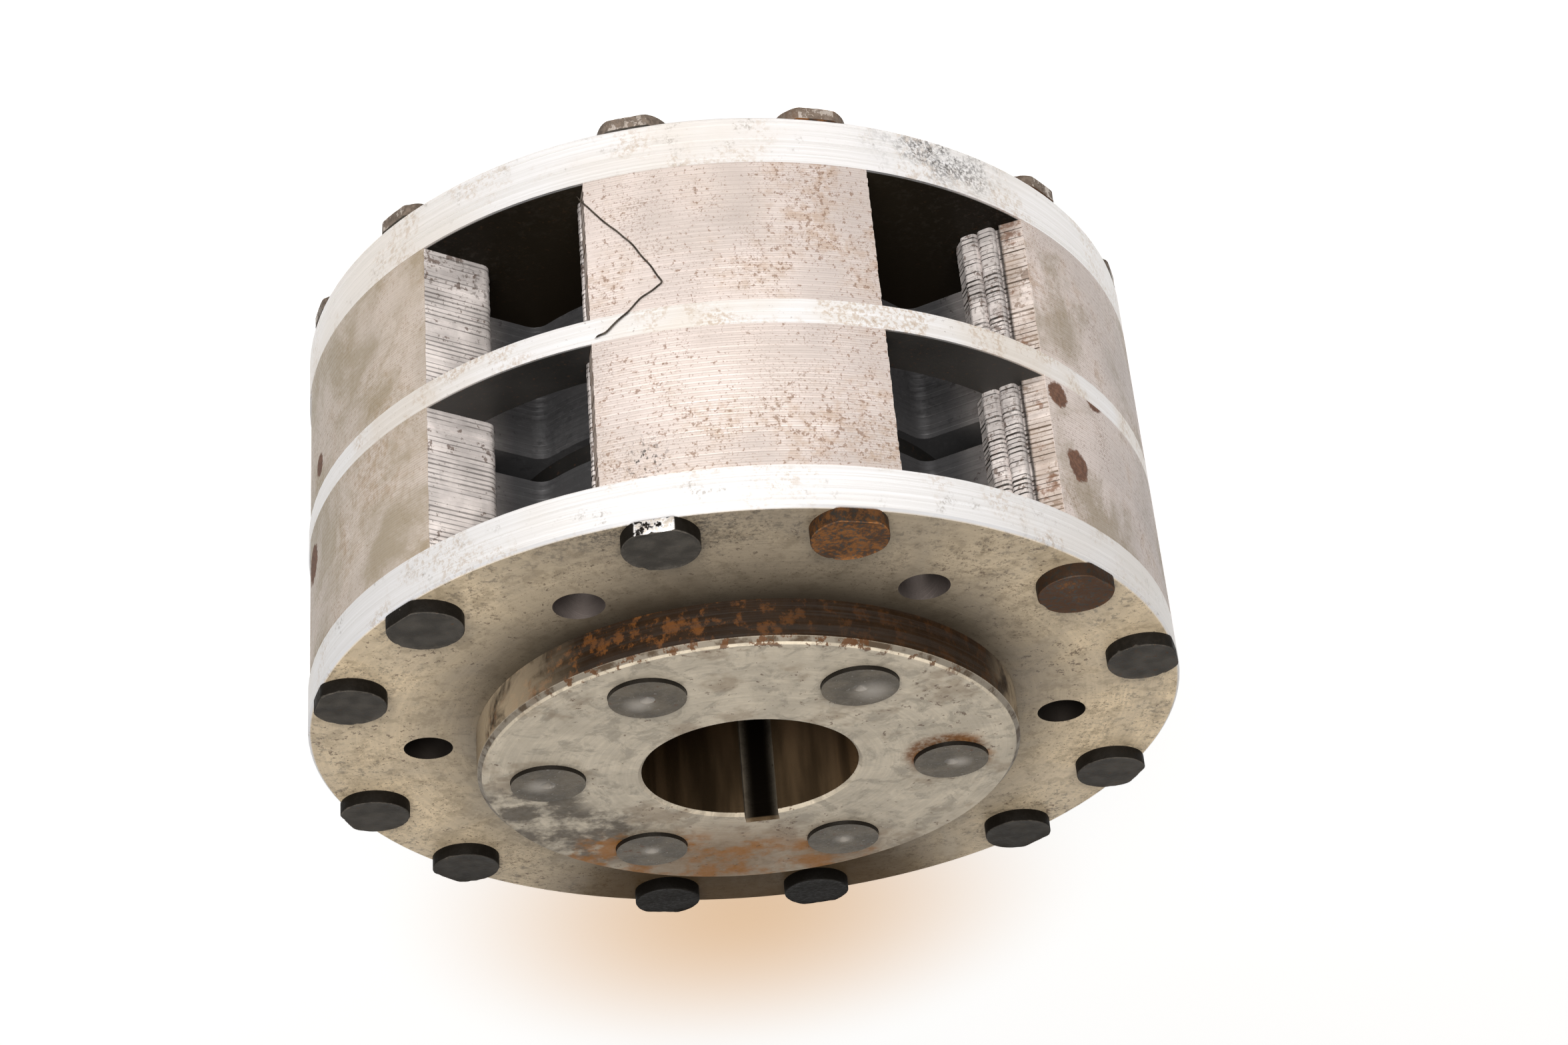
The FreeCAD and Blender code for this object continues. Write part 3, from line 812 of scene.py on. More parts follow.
def make_rivet(number, angle, sizes, seed, wear):
    """One pole rivet: its rows joined up, and a point at the middle of each end face."""
    centre = sizes.out * np.array([math.cos(angle), math.sin(angle)])
    wall = rivet_points(sizes, centre, seed, wear)
    rows, columns = wall.shape[:2]
    ends = np.array([[*centre, RIVET_FOOT], [*centre, RIVET_TOP]])
    points = np.concatenate([wall.reshape(-1, 3), ends])
    around = np.arange(columns)
    along = (around + 1) % columns
    low_end = np.full(columns, rows * columns)
    top = (rows - 1) * columns
    faces = [
        grid_faces(rows, columns),
        np.stack([along, around, low_end], -1),
        np.stack([top + around, top + along, low_end + 1], -1),
    ]
    node = "pole_rivet_%02d" % number
    return make_mesh("dressed_" + node, points, faces, node, 38.0)


# --------------------------------------------------------------------- the lint


def make_fibre():
    """A fine fibre: a small ring carried along a smooth line over the rim, narrowing to its two ends."""
    marks = np.array(FIBRE)
    share = np.linspace(0, len(marks) - 1, FIBRE_ROWS)
    angle = np.radians(np.interp(share, np.arange(len(marks)), marks[:, 0]))
    level = np.interp(share, np.arange(len(marks)), marks[:, 1])
    # the line is softened by a short running mean, and sways a little in level
    soft = np.array([1, 2, 3, 2, 1]) / 9
    angle[2:-2] = np.convolve(angle, soft, "valid")
    level[2:-2] = np.convolve(level, soft, "valid") + 0.05 * np.sin(share[2:-2] * 5.0)
    reach = OUTER_RADIUS + FIBRE_RADIUS
    path = np.stack([reach * np.cos(angle), reach * np.sin(angle), level], -1)
    way = np.gradient(path, axis=0)
    way /= np.linalg.norm(way, axis=1, keepdims=True)
    out = np.stack([np.cos(angle), np.sin(angle), np.zeros_like(angle)], -1)
    across = np.cross(way, out)
    turn = round_steps(FIBRE_SIDES)
    size = FIBRE_RADIUS * np.clip(np.minimum(share, share[-1] - share) * 4, 0.15, 1)
    ring = np.cos(turn)[None, :, None] * out[:, None] + np.sin(turn)[None, :, None] * across[:, None]
    points = path[:, None] + ring * size[:, None, None]
    rows, columns = points.shape[:2]
    ends = np.arange(columns)
    faces = [grid_faces(rows, columns), ends[None, ::-1], (rows - 1) * columns + ends[None]]
    return make_mesh("lint_fibre", points.reshape(-1, 3), faces, None, 60.0)


# ------------------------------------------------------------------- finishes


class Tones:
    """Tones of worn metal, rust and dirt that the finishes lay over their own colours."""

    # bright and worn metal, with painted light and highlights
    ring_grey = (0.42, 0.40, 0.37)
    spacer_ring_grey = (0.45, 0.41, 0.36)
    worn_metal = (0.40, 0.36, 0.32)
    worn_far_metal = (0.33, 0.28, 0.24)
    worn_edge = (0.13, 0.115, 0.10)
    # painted highlight on the hub rivets' heads
    middle_glint = (0.36, 0.325, 0.28)
    chamfer_light = (0.22, 0.19, 0.15)
    chamfer_dark = (0.08, 0.056, 0.036)
    # painted light and shade on the plate holes' walls
    hole_painted_light = (0.15, 0.125, 0.115)
    hole_painted_shade = (0.02, 0.016, 0.013)
    # painted light on the flange's wall
    hub_wall_painted_light = (0.36, 0.285, 0.195)

    # rust
    rim_cluster = (0.36, 0.25, 0.15)
    spacer_cluster = (0.38, 0.26, 0.155)
    shoe_cloud = (0.30, 0.20, 0.125)
    shoe_speck = (0.145, 0.075, 0.042)
    shoe_dust = (0.16, 0.10, 0.065)
    shoe_rust_dark = (0.075, 0.036, 0.023)
    shoe_rust_light = (0.14, 0.070, 0.044)
    land_rust = (0.30, 0.22, 0.165)
    side_rust = (0.155, 0.075, 0.042)
    hub_orange = (0.33, 0.125, 0.012)
    hub_brown = (0.20, 0.115, 0.05)
    hub_crescent = (0.17, 0.07, 0.022)
    hub_edge_rust = (0.10, 0.042, 0.016)
    wall_orange = (0.17, 0.062, 0.014)

    # oil, stains and dirt, with painted shade
    rim_mark = (0.20, 0.17, 0.14)
    # painted shade over the middle of the plate face
    plate_middle_shade = (0.10, 0.075, 0.045)
    # dark oil and painted shade at the back of the plate
    plate_oil_and_shade = (0.085, 0.050, 0.022)
    # painted shade round the hub's foot
    plate_foot_shade = (0.030, 0.022, 0.014)
    shoe_stain = (0.20, 0.16, 0.10)
    shoe_film = (0.30, 0.24, 0.145)
    side_speck = (0.07, 0.045, 0.03)
    # painted shade in the notch and the valley by the beads
    side_hollow_shade = (0.03, 0.022, 0.018)
    # painted shade on the legs inside the stack
    leg_painted_shade = (0.052, 0.053, 0.057)
    hub_stain = (0.22, 0.155, 0.095)
    hub_smear = (0.05, 0.037, 0.024)
    # the hub face darker towards the back
    hub_back_darkening = (0.10, 0.065, 0.035)
    # near black rust with painted shade on the flange's wall
    wall_dark = (0.018, 0.0085, 0.003)
    wall_darker = (0.013, 0.006, 0.002)
    # painted shade in the keyway
    keyway = (0.012, 0.009, 0.006)
    # black scale and painted shade on the rivet heads' sides
    head_wall = (0.004, 0.003, 0.002)
    head_far_wall = (0.17, 0.135, 0.11)
    # painted shade on the rivet heads towards the back
    head_painted_shade = (0.006, 0.005, 0.004)
    # dark steel and painted shade on the hub rivet heads' sides
    hub_head_wall = (0.010, 0.008, 0.006)

    # how much lighter or darker a face gets: painted light and shade to one side, and a mottle
    side_painted_light = (1.52, 1.49, 1.42)
    bore_painted_light = (1.25, 1.2, 1.1)
    bore_painted_shade = (0.5, 0.48, 0.44)
    mottle_shade = (0.46, 0.43, 0.38)


def shade(colour, share):
    """A colour made lighter or darker: each channel times a share, or times a share of its own."""
    shares = share if isinstance(share, tuple) else (share, share, share)
    return [value * own for value, own in zip(colour, shares)]


def plate_rim(f, c, rings, middling, fine):
    """A plate's turned rim: bright steel with fine rings, tan stains, small marks and one scuff."""
    broad = f.noise(0.045, 3.0, 0.55, stretch=(1, 1, 1.6))
    rim = f.mix(f.steps(broad, 0.42, 0.68), c.bright, c.tan)
    rim = f.mix(0.72, rim, c.bright)
    rim = f.lay(rim, f.steps(rings, 0.36, 0.7, 0.34, 0.0), Tones.ring_grey)
    marks = f.product(f.steps(middling, 0.56, 0.68), f.steps(fine, 0.46, 0.62))
    rim = f.lay(rim, marks, Tones.rim_mark, 0.55)
    lumps = f.noise(0.12, 4.0, 0.6)
    grains = f.noise(2.1, 5.0, 0.75)
    clusters = f.product(f.steps(lumps, 0.48, 0.60), f.steps(grains, 0.47, 0.60))
    rim = f.lay(rim, clusters, Tones.rim_cluster, 0.42)
    scuffed = f.patch(*RIM_SCUFF, (1, 1, 1.7))
    scuff = f.product(scuffed, f.steps(middling, 0.42, 0.58), f.steps(fine, 0.40, 0.6))
    return f.lay(rim, scuff, c.grime, 0.9)


def plate_face(f, c, dull, smear, fine, oil_and_shade):
    """A plate's dull face: smears, fine circles, scratches, specks, dark oil with painted shade at the back,
    painted light to the sides, and painted shade in the middle and round the hub's foot.
    """
    face = f.mix(f.steps(smear, 0.38, 0.66), dull, shade(dull, 1.28))
    face = f.lay(face, f.steps(f.turned(2.2), 0.35, 0.7, 0.28, 0.0), shade(dull, 0.6))
    scratch = f.noise(1.5, 5.0, 0.72)
    near_edge = f.steps(f.radius, *PLATE_EDGE)
    mottle = f.noise(0.62, 6.0, 0.70, distortion=0.3)
    face = f.lay(face, f.steps(mottle, 0.46, 0.64, 0.0, 0.5), shade(dull, Tones.mottle_shade))
    parts = f.steps(f.noise(0.12, 3.0), 0.40, 0.54)
    dirty = f.product(f.steps(scratch, 0.52, 0.62), f.blend(near_edge, 0.2, 1.0), parts)
    face = f.lay(face, dirty, shade(c.grime, 1.4), 0.5)
    small = f.speckle(1.6, 0.64, f.noise(0.07, 2.0))
    specks = f.most(small, f.product(f.speckle(3.4, 0.62, smear), 0.8))
    face = f.lay(face, specks, shade(c.brown, 0.7), 0.7)
    ahead = f.patch(*FRONT_DIRT, (0.7, 2.2, 0.0))
    front = f.product(ahead, f.steps(scratch, 0.40, 0.56), f.steps(fine, 0.38, 0.56))
    face = f.lay(face, front, c.grime, 0.85)
    # painted light to the sides of the plate face and painted shade over its middle
    painted_light_aside = f.steps(f.math("ABSOLUTE", f.x), 9.0, 34.0)
    face = f.mix(painted_light_aside, f.mix(0.35, face, Tones.plate_middle_shade), f.tint(face, Tones.side_painted_light))
    # dark oil with painted shade at the back
    face = f.lay(face, oil_and_shade, Tones.plate_oil_and_shade, 0.88)
    # painted shade round the hub's foot, strongest in front of the hub
    behind = f.steps(f.math("DIVIDE", f.y, f.radius), -0.9, 0.6, 1.0, 0.35)
    foot = f.product(f.steps(f.radius, *PLATE_FOOT_SHADE, 1.0, 0.0), behind)
    return f.lay(face, foot, Tones.plate_foot_shade)


def turned_plate(colours, name, dull, gloss, light):
    """Turned plate: a bright rim with fine rings and stains, duller faces with smears and specks.

    The gloss is the faces' where no oil lies, and the light is a share that darkens them as a painted shade.
    """
    c = colours
    f = Finish(name)
    on_rim = f.steps(f.radius, OUTER_RADIUS - 0.32, OUTER_RADIUS - 0.12)
    rings = f.turned(5.0, 4.0)
    fine = f.noise(3.2, 4.0, 0.7)
    smear = f.noise(0.10, 6.0, 0.62, distortion=1.2)
    # the oil at the back also holds a painted shade in its colour
    pool = f.steps(f.patch(*OIL_AND_SHADE_POOL), 0.0, 0.6)
    oil_and_shade = f.product(pool, f.steps(smear, 0.2, 0.5, 0.8, 1.0))
    rim = plate_rim(f, c, rings, f.noise(0.35, 5.0, 0.65), fine)
    face = plate_face(f, c, dull, smear, fine, oil_and_shade)
    wall = f.product(f.upright(0.3, 0.6), f.rest(on_rim))
    # painted light and shade on the holes' walls: lit towards the front, dark towards the back
    face = f.mix(wall, face, f.mix(f.steps(f.y, -28.0, -8.0), Tones.hole_painted_light, Tones.hole_painted_shade))
    face = f.tint(face, (light, light, light))
    colour = f.mix(on_rim, face, rim)
    roughness = f.blend(on_rim, f.steps(smear, 0.3, 0.7, 0.42, 0.62), f.steps(rings, 0.3, 0.7, 0.26, 0.4))
    relief = f.total(f.product(rings, 0.6), f.product(fine, 0.35))
    metallic = f.blend(f.most(on_rim, wall), f.steps(oil_and_shade, 0.0, 1.0, 0.15, 0.0), 0.8)
    return f.finish(colour, roughness, metallic, relief, 0.03, f.steps(oil_and_shade, 0.0, 0.8, gloss, 0.02))


def ring_finish(colours):
    """The spacer ring: a bright turned rim and dull brown-grey faces darkened as a painted shade inside the
    slots.
    """
    c = colours
    f = Finish("turned_ring")
    on_rim = f.steps(f.radius, OUTER_RADIUS - 0.25, OUTER_RADIUS - 0.08)
    rings = f.turned(6.0, 4.0)
    broad = f.noise(0.06, 3.0)
    fine = f.noise(2.6, 4.0, 0.7)
    rim = f.mix(f.steps(broad, 0.45, 0.68, 0.0, 0.4), c.bright, c.tan)
    rim = f.lay(rim, f.steps(rings, 0.36, 0.66, 0.3, 0.0), Tones.spacer_ring_grey)
    rim = f.lay(rim, f.steps(fine, 0.62, 0.72, 0.0, 0.5), c.brown)
    lumps = f.noise(0.13, 4.0, 0.6)
    clusters = f.product(f.steps(lumps, 0.46, 0.58), f.steps(fine, 0.45, 0.58))
    rim = f.lay(rim, clusters, Tones.spacer_cluster, 0.5)
    # painted shade: the ring's faces inside the slots are near black
    face = f.mix(f.steps(broad, 0.35, 0.6), shade(c.inner, 1.5), shade(c.inner, 4.5))
    face = f.lay(face, f.steps(fine, 0.58, 0.7, 0.0, 0.5), c.brown)
    colour = f.mix(on_rim, face, rim)
    return f.finish(colour, f.blend(on_rim, 0.6, 0.33), f.blend(on_rim, 0.1, 0.8), rings, 0.02)


def row_noise(f, number, scale):
    """Noise that is the same all over one sheet or one seam."""
    row = f.tree.nodes.new("ShaderNodeCombineXYZ")
    f.join(f.product(number, scale), row.inputs[0])
    return f.noise(1.0, 1.0, 0.5, row.outputs[0])


def sheet_rim(f, c, grain, joint, rings):
    """The sheets' turned rims: turning marks, stains, specks and dust of rust, and a few patches of it.

    Gives the colour, and masks of the specks and of the patches.
    """
    rim = f.mix(f.steps(grain.broad, 0.38, 0.64), c.sheet, shade(c.sheet, 1.35))
    rim = f.lay(rim, f.steps(rings, -1.0, 1.0, 0.27, 0.0), shade(c.sheet, 0.42))
    clouds = f.product(f.steps(grain.spread, 0.44, 0.66), f.steps(f.noise(0.9, 4.0, 0.7), 0.42, 0.62))
    rim = f.lay(rim, clouds, Tones.shoe_cloud, 0.55)
    sideways = f.steps(f.math("ABSOLUTE", f.x), 14.0, 30.0, 0.0, 1.0)
    specks = f.product(f.speckle(2.3, 0.585, grain.spread, 0.06), f.rest(f.product(sideways, 0.6)))
    rim = f.lay(rim, specks, Tones.shoe_speck, 0.7)
    rim = f.lay(rim, f.speckle(5.0, 0.585, f.noise(0.2, 3.0), 0.07), Tones.shoe_dust, 0.55)
    line = f.steps(joint, 0.42, 0.5, 0.0, 0.22)
    broken = f.steps(f.noise(0.5, 3.0, stretch=(1, 1, 2.0)), 0.35, 0.6)
    rim = f.lay(rim, f.product(line, broken), c.grime)
    stain = f.steps(f.noise(0.085, 6.0, 0.66, distortion=0.4), 0.44, 0.62)
    rim = f.lay(rim, f.product(stain, f.blend(sideways, 0.15, 1.0)), Tones.shoe_stain, 0.7)
    rim = f.lay(rim, f.steps(f.x, 12.0, 30.0, 0.0, 0.3), Tones.shoe_film)
    pits = f.product(f.patch(*SHOE_PITS), f.steps(grain.fine, 0.55, 0.60))
    rim = f.lay(rim, pits, c.grime)
    spots = f.patches(SHOE_RUST)
    ragged = f.product(f.math("SUBTRACT", f.blend(0.35, grain.middling, grain.fine), 0.5), 1.5)
    patches = f.product(f.steps(f.total(spots, ragged), 0.40, 0.58), f.steps(spots, 0.02, 0.2))
    rust = f.mix(f.steps(grain.fine, 0.35, 0.65), Tones.shoe_rust_dark, Tones.shoe_rust_light)
    return f.lay(rim, patches, rust), specks, patches


def sheet_side(f, c, grain, sheet, stacked, joint):
    """The sheets' stamped sides: each sheet's own tone, dark joints of uneven width, dark hollows of painted
    shade, and painted shade on the legs.
    """
    side = f.mix(f.steps(grain.middling, 0.35, 0.65), c.side, shade(c.side, 0.68))
    side = f.lay(side, f.steps(row_noise(f, sheet, 3.7), 0.35, 0.7, 0.0, 0.3), shade(c.side, 0.5))
    seam = f.math("FLOOR", f.total(stacked, 0.5))
    width = f.steps(row_noise(f, seam, 7.3), 0.35, 0.68, 0.03, 0.24)
    wander = f.steps(f.noise(0.35, 3.0, 0.6), 0.3, 0.7, -0.05, 0.06)
    start = f.math("SUBTRACT", 0.49, f.total(width, wander))
    cut = f.steps(joint, start, f.total(start, 0.08))
    on_shoe = f.steps(f.radius, *SHOE_FROM, 0.06, 1.0)
    side = f.lay(side, f.speckle(0.9, 0.61, grain.spread), c.brown, 0.7)
    facing = f.vector("DOT_PRODUCT", f.normal, f.tangent)
    beaded = f.steps(facing, 0.2, 0.5)
    breaks = f.steps(f.noise(0.45, 4.0, 0.6, stretch=(1, 1, 0.6)), 0.28, 0.52, 0.5, 1.0)
    side = f.lay(side, f.product(cut, breaks, on_shoe, f.blend(beaded, 0.6, 1.0)), c.grime)
    side = f.lay(side, f.product(f.speckle(2.2, 0.615, grain.broad), on_shoe), Tones.side_speck, 0.5)
    land = f.product(beaded, f.steps(f.radius, *LAND_FROM), f.steps(grain.middling, 0.30, 0.60, 0.55, 1.0))
    side = f.lay(side, land, Tones.land_rust, 0.6)
    lumps = f.steps(f.noise(0.6, 4.0, 0.7), 0.56, 0.66)
    rusty = f.product(beaded, lumps, f.steps(f.radius, *LAND_RUST_FROM, 0.3, 1.0))
    side = f.lay(side, rusty, Tones.side_rust, 0.75)
    # painted shade in the notch and in the valley between the beads
    notch = f.product(beaded, f.steps(f.radius, *NOTCH_FROM), f.steps(f.radius, *NOTCH_UP_TO, 1.0, 0.0))
    valley = f.product(f.steps(facing, 0.15, 0.35), f.steps(facing, 0.50, 0.70, 1.0, 0.0))
    valley = f.product(valley, f.steps(f.radius, *VALLEY_FROM))
    side = f.lay(side, f.most(notch, valley), Tones.side_hollow_shade, 0.88)
    # painted shade on the legs inside the stack
    return f.lay(side, f.steps(f.radius, *LEG_SHADE_UP_TO, 0.95, 0.0), Tones.leg_painted_shade)


def sheet_finish(colours, sizes):
    """Stacked sheets: turned rims with specks of rust, and cooler stamped sides with dark joints."""
    c = colours
    f = Finish("sheet_steel")
    on_rim = f.steps(f.radius, OUTER_RADIUS - 0.06, OUTER_RADIUS - 0.03)
    above_ring = f.math("GREATER_THAN", f.z, 0.5 * (FAR_STACK_TOP + HUB_STACK_BASE))
    far_height = f.math("SUBTRACT", f.z, FAR_STACK_BASE)
    hub_height = f.math("SUBTRACT", f.z, HUB_STACK_BASE)
    stacked = f.math("DIVIDE", f.blend(above_ring, far_height, hub_height), sizes.sheet)
    joint = f.math("ABSOLUTE", f.math("SUBTRACT", f.math("FRACT", stacked), 0.5))
    sheet = f.math("FLOOR", f.math("DIVIDE", f.z, sizes.sheet))
    fine = f.noise(2.4, 4.0, 0.72)
    grain = SimpleNamespace(
        broad=f.noise(0.055, 3.0, 0.55), middling=f.noise(0.28, 5.0, 0.62),
        fine=fine, spread=f.noise(0.11, 4.0, 0.65),
    )
    wave = f.math("SINE", f.product(f.z, 2 * math.pi / TURNING_PITCH))
    rings = f.product(wave, f.steps(f.noise(0.22, 3.0, 0.6), 0.30, 0.68, 0.25, 1.0))
    rim, specks, patches = sheet_rim(f, c, grain, joint, rings)
    side = sheet_side(f, c, grain, sheet, stacked, joint)
    colour = f.mix(on_rim, side, rim)
    rough = f.most(specks, patches)
    roughness = f.blend(on_rim, f.steps(fine, 0.3, 0.7, 0.42, 0.6), f.steps(fine, 0.3, 0.7, 0.34, 0.55))
    roughness = f.blend(f.product(rough, on_rim), roughness, 0.75)
    metallic = f.steps(rough, 0.0, 1.0, 0.4, 0.1)
    relief = f.total(f.product(rings, on_rim, 0.3), f.product(fine, 0.5))
    return f.finish(colour, roughness, metallic, relief, 0.014)


def rivet_finish(colours, name, centre, orange, brown, bare):
    """A scaled rivet head: black sides of scale and painted shade, a charcoal face with rust and painted shade
    towards the back, and turned metal at the rim.

    The orange, brown and bare shares say how much of the fresh rust, the old rust and the
    bare metal a head has.  The centre is the rivet's place across and along.
    """
    c = colours
    f = Finish(name)
    fine = f.noise(2.2, 5.0, 0.7)
    middling = f.noise(0.55, 4.0, 0.62)
    colour = f.mix(f.steps(middling, 0.35, 0.65), c.charcoal, shade(c.charcoal, 1.7))
    away = f.vector("MULTIPLY", f.vector("SUBTRACT", f.place, (*centre, 0.0)), (1, 1, 0))
    edge = f.steps(f.vector("LENGTH", away), *HEAD_EDGE)
    colour = f.lay(colour, f.product(edge, f.steps(fine, 0.50, 0.62)), Tones.worn_edge, 0.4)
    colour = f.lay(colour, f.steps(fine, 0.64 - 0.3 * brown, 0.76 - 0.3 * brown, 0.0, 0.85), c.brown)
    fresh = f.total(f.product(middling, 0.5), f.product(fine, 0.5))
    fresh = f.steps(fresh, 0.64 - 0.2 * orange, 0.72 - 0.12 * orange, 0.0, 0.2 + 0.45 * orange)
    colour = f.lay(colour, fresh, c.orange)
    # the heads' black sides are scale and painted shade
    wall = f.upright(0.25, 0.75)
    colour = f.lay(colour, wall, Tones.head_wall, 0.97 - 0.3 * brown)
    far = f.math("LESS_THAN", f.z, RIVET_MIDDLE)
    colour = f.lay(colour, f.product(wall, far, f.steps(fine, 0.35, 0.6, 0.95, 0.5)), Tones.head_far_wall)
    # painted shade on the heads towards the back
    shaded = f.product(f.rest(far), f.steps(f.y, 18.0, 36.0, 0.0, 0.9))
    colour = f.lay(colour, shaded, Tones.head_painted_shade)
    at_rim = f.steps(f.radius, OUTER_RADIUS - 0.05, OUTER_RADIUS - 0.02)
    worn = f.total(f.product(middling, 0.7), f.product(fine, 0.3))
    level = f.math("SUBTRACT", 0.72, f.product(f.blend(far, bare, 0.6), 0.36))
    scarred = f.product(at_rim, f.steps(worn, level, f.total(level, 0.06)))
    metal = f.mix(f.steps(fine, 0.40, 0.62), c.bright, Tones.worn_metal)
    metal = f.lay(metal, far, Tones.worn_far_metal, 0.7)
    colour = f.mix(scarred, colour, metal)
    roughness = f.blend(scarred, f.steps(fine, 0.3, 0.7, 0.36, 0.6), 0.35)
    relief = f.total(f.product(fine, 0.6), middling)
    return f.finish(colour, roughness, f.product(scarred, 0.85), relief, 0.07, 0.03)


def hub_face(f, c, rings, middling, fine, edge_rust):
    """The hub's face: grey-beige with fine circles and mottling, a dark smear, rust at the back and specks.

    Gives the colour, and a mask of the orange rust.
    """
    face = f.mix(f.steps(middling, 0.35, 0.66), c.hub, shade(c.hub, 1.3))
    face = f.lay(face, f.steps(rings, 0.36, 0.66, 0.22, 0.0), shade(c.hub, 0.62))
    mottle = f.noise(0.40, 6.0, 0.72, distortion=0.7)
    face = f.lay(face, f.steps(mottle, 0.48, 0.62, 0.0, 0.5), shade(c.hub, 0.45))
    face = f.lay(face, f.steps(f.noise(0.16, 4.0, 0.6), 0.54, 0.66, 0.0, 0.5), Tones.hub_stain)
    smeared = f.steps(f.level_patches(HUB_SMEARS, HUB_TOP), 0.0, 0.5)
    smear = f.product(smeared, f.steps(f.noise(0.30, 5.0, 0.64), 0.38, 0.58))
    face = f.lay(face, smear, Tones.hub_smear, 0.85)
    face = f.lay(face, f.level_patches(HUB_BROWN, HUB_TOP), Tones.hub_brown, 0.85)
    rusted = f.steps(f.level_patches(HUB_ORANGE, HUB_TOP), 0.0, 0.45)
    orange = f.product(rusted, f.steps(f.noise(0.32, 4.0, 0.6), 0.42, 0.62))
    face = f.lay(face, orange, Tones.hub_orange, 0.9)
    # darker towards the back
    face = f.lay(face, f.steps(f.y, 6.0, 24.0, 0.0, 0.3), Tones.hub_back_darkening)
    round_rivet = f.steps(f.patch(*RIVET_CRESCENT), 0.0, 0.25)
    crescent = f.product(round_rivet, f.steps(fine, 0.35, 0.6, 0.4, 0.95))
    face = f.lay(face, crescent, Tones.hub_crescent)
    face = f.lay(face, edge_rust, Tones.hub_edge_rust)
    specks = f.speckle(1.3, 0.655, f.noise(0.08, 2.0))
    return f.lay(face, specks, c.brown, 0.7), orange


def hub_wall(f, c, rings, middling):
    """The flange's wall: near black brown rust with painted shade, orange spots to one side, and painted light
    at the sides.
    """
    lumps = f.noise(0.5, 5.0, 0.65, stretch=(1, 1, 0.8))
    # the near black is rust and painted shade
    wall = f.mix(f.steps(lumps, 0.40, 0.60), Tones.wall_dark, Tones.wall_darker)
    spots = f.product(f.steps(f.noise(0.6, 5.0, 0.7), 0.50, 0.62), f.steps(f.x, -12.0, 10.0, 0.12, 0.6))
    wall = f.lay(wall, spots, Tones.wall_orange)
    wall = f.lay(wall, f.steps(rings, 0.36, 0.6, 0.35, 0.0), c.grime)
    # painted light on the wall at its two sides
    pale = f.product(f.patches(LIT_WALL_PATCHES), f.steps(middling, 0.30, 0.55))
    return f.lay(wall, pale, Tones.hub_wall_painted_light)


def hub_bore(f, c):
    """The bore: brown with upright streaks, painted shade to one side and painted light to the other, and a
    black keyway of painted shade.
    """
    streaks = f.noise(0.25, 3.0, 0.55, stretch=(1.3, 1.3, 0.2))
    bore = f.mix(f.steps(streaks, 0.38, 0.62), c.bore, shade(c.bore, 0.4))
    # painted shade to one side of the bore and painted light to the other
    bore = f.tint(bore, f.mix(f.steps(f.x, -4.0, 4.0), Tones.bore_painted_light, Tones.bore_painted_shade))
    inside = f.steps(f.z, HUB_TOP - 0.5, HUB_TOP - 0.35, 1.0, 0.0)
    # painted shade in the keyway
    return f.lay(bore, f.product(f.steps(f.radius, *KEYWAY_FROM), inside), Tones.keyway)


def hub_finish(colours):
    """The hub: a grey-beige face with rust and smears, a rusty wall with painted shade and light, a bright
    chamfer and a dark bore with painted shade and light.
    """
    c = colours
    f = Finish("hub_steel")
    rings = f.turned(3.2, 3.0)
    middling = f.noise(0.22, 6.0, 0.62, distortion=0.8)
    fine = f.noise(1.9, 5.0, 0.7)
    spots = f.product(f.steps(f.noise(0.8, 4.0, 0.7), 0.54, 0.60), f.steps(f.y, -14.0, -19.0, 0.0, 0.9))
    edge_rust = f.product(spots, f.steps(f.radius, HUB_REACH - 1.8, HUB_REACH - 0.5))
    face, orange = hub_face(f, c, rings, middling, fine, edge_rust)
    below = f.math("LESS_THAN", f.z, HUB_TOP - 0.5)
    on_wall = f.product(f.steps(f.radius, HUB_REACH - 0.05, HUB_REACH - 0.01), below)
    sloped = f.steps(f.z, HUB_TOP - 0.62, HUB_TOP - 0.52)
    chamfer = f.product(f.steps(f.radius, HUB_REACH - 0.45, HUB_REACH - 0.38), sloped)
    in_bore = f.product(f.steps(f.radius, *BORE_UP_TO, 0.0, 1.0), f.upright(0.3, 0.5))
    bare = f.mix(f.steps(f.noise(0.5, 4.0, 0.65), 0.44, 0.62), Tones.chamfer_light, Tones.chamfer_dark)
    colour = f.mix(on_wall, face, hub_wall(f, c, rings, middling))
    colour = f.mix(chamfer, colour, f.mix(edge_rust, bare, Tones.hub_edge_rust))
    colour = f.mix(in_bore, colour, hub_bore(f, c))
    roughness = f.blend(in_bore, f.steps(fine, 0.3, 0.7, 0.40, 0.62), 0.24)
    metallic = f.blend(f.most(orange, on_wall), 0.25, 0.0)
    metallic = f.blend(in_bore, f.blend(chamfer, metallic, 0.5), 0.85)
    relief = f.total(f.product(rings, 0.7), f.product(fine, 0.4))
    return f.finish(colour, roughness, metallic, relief, 0.03, 0.15)


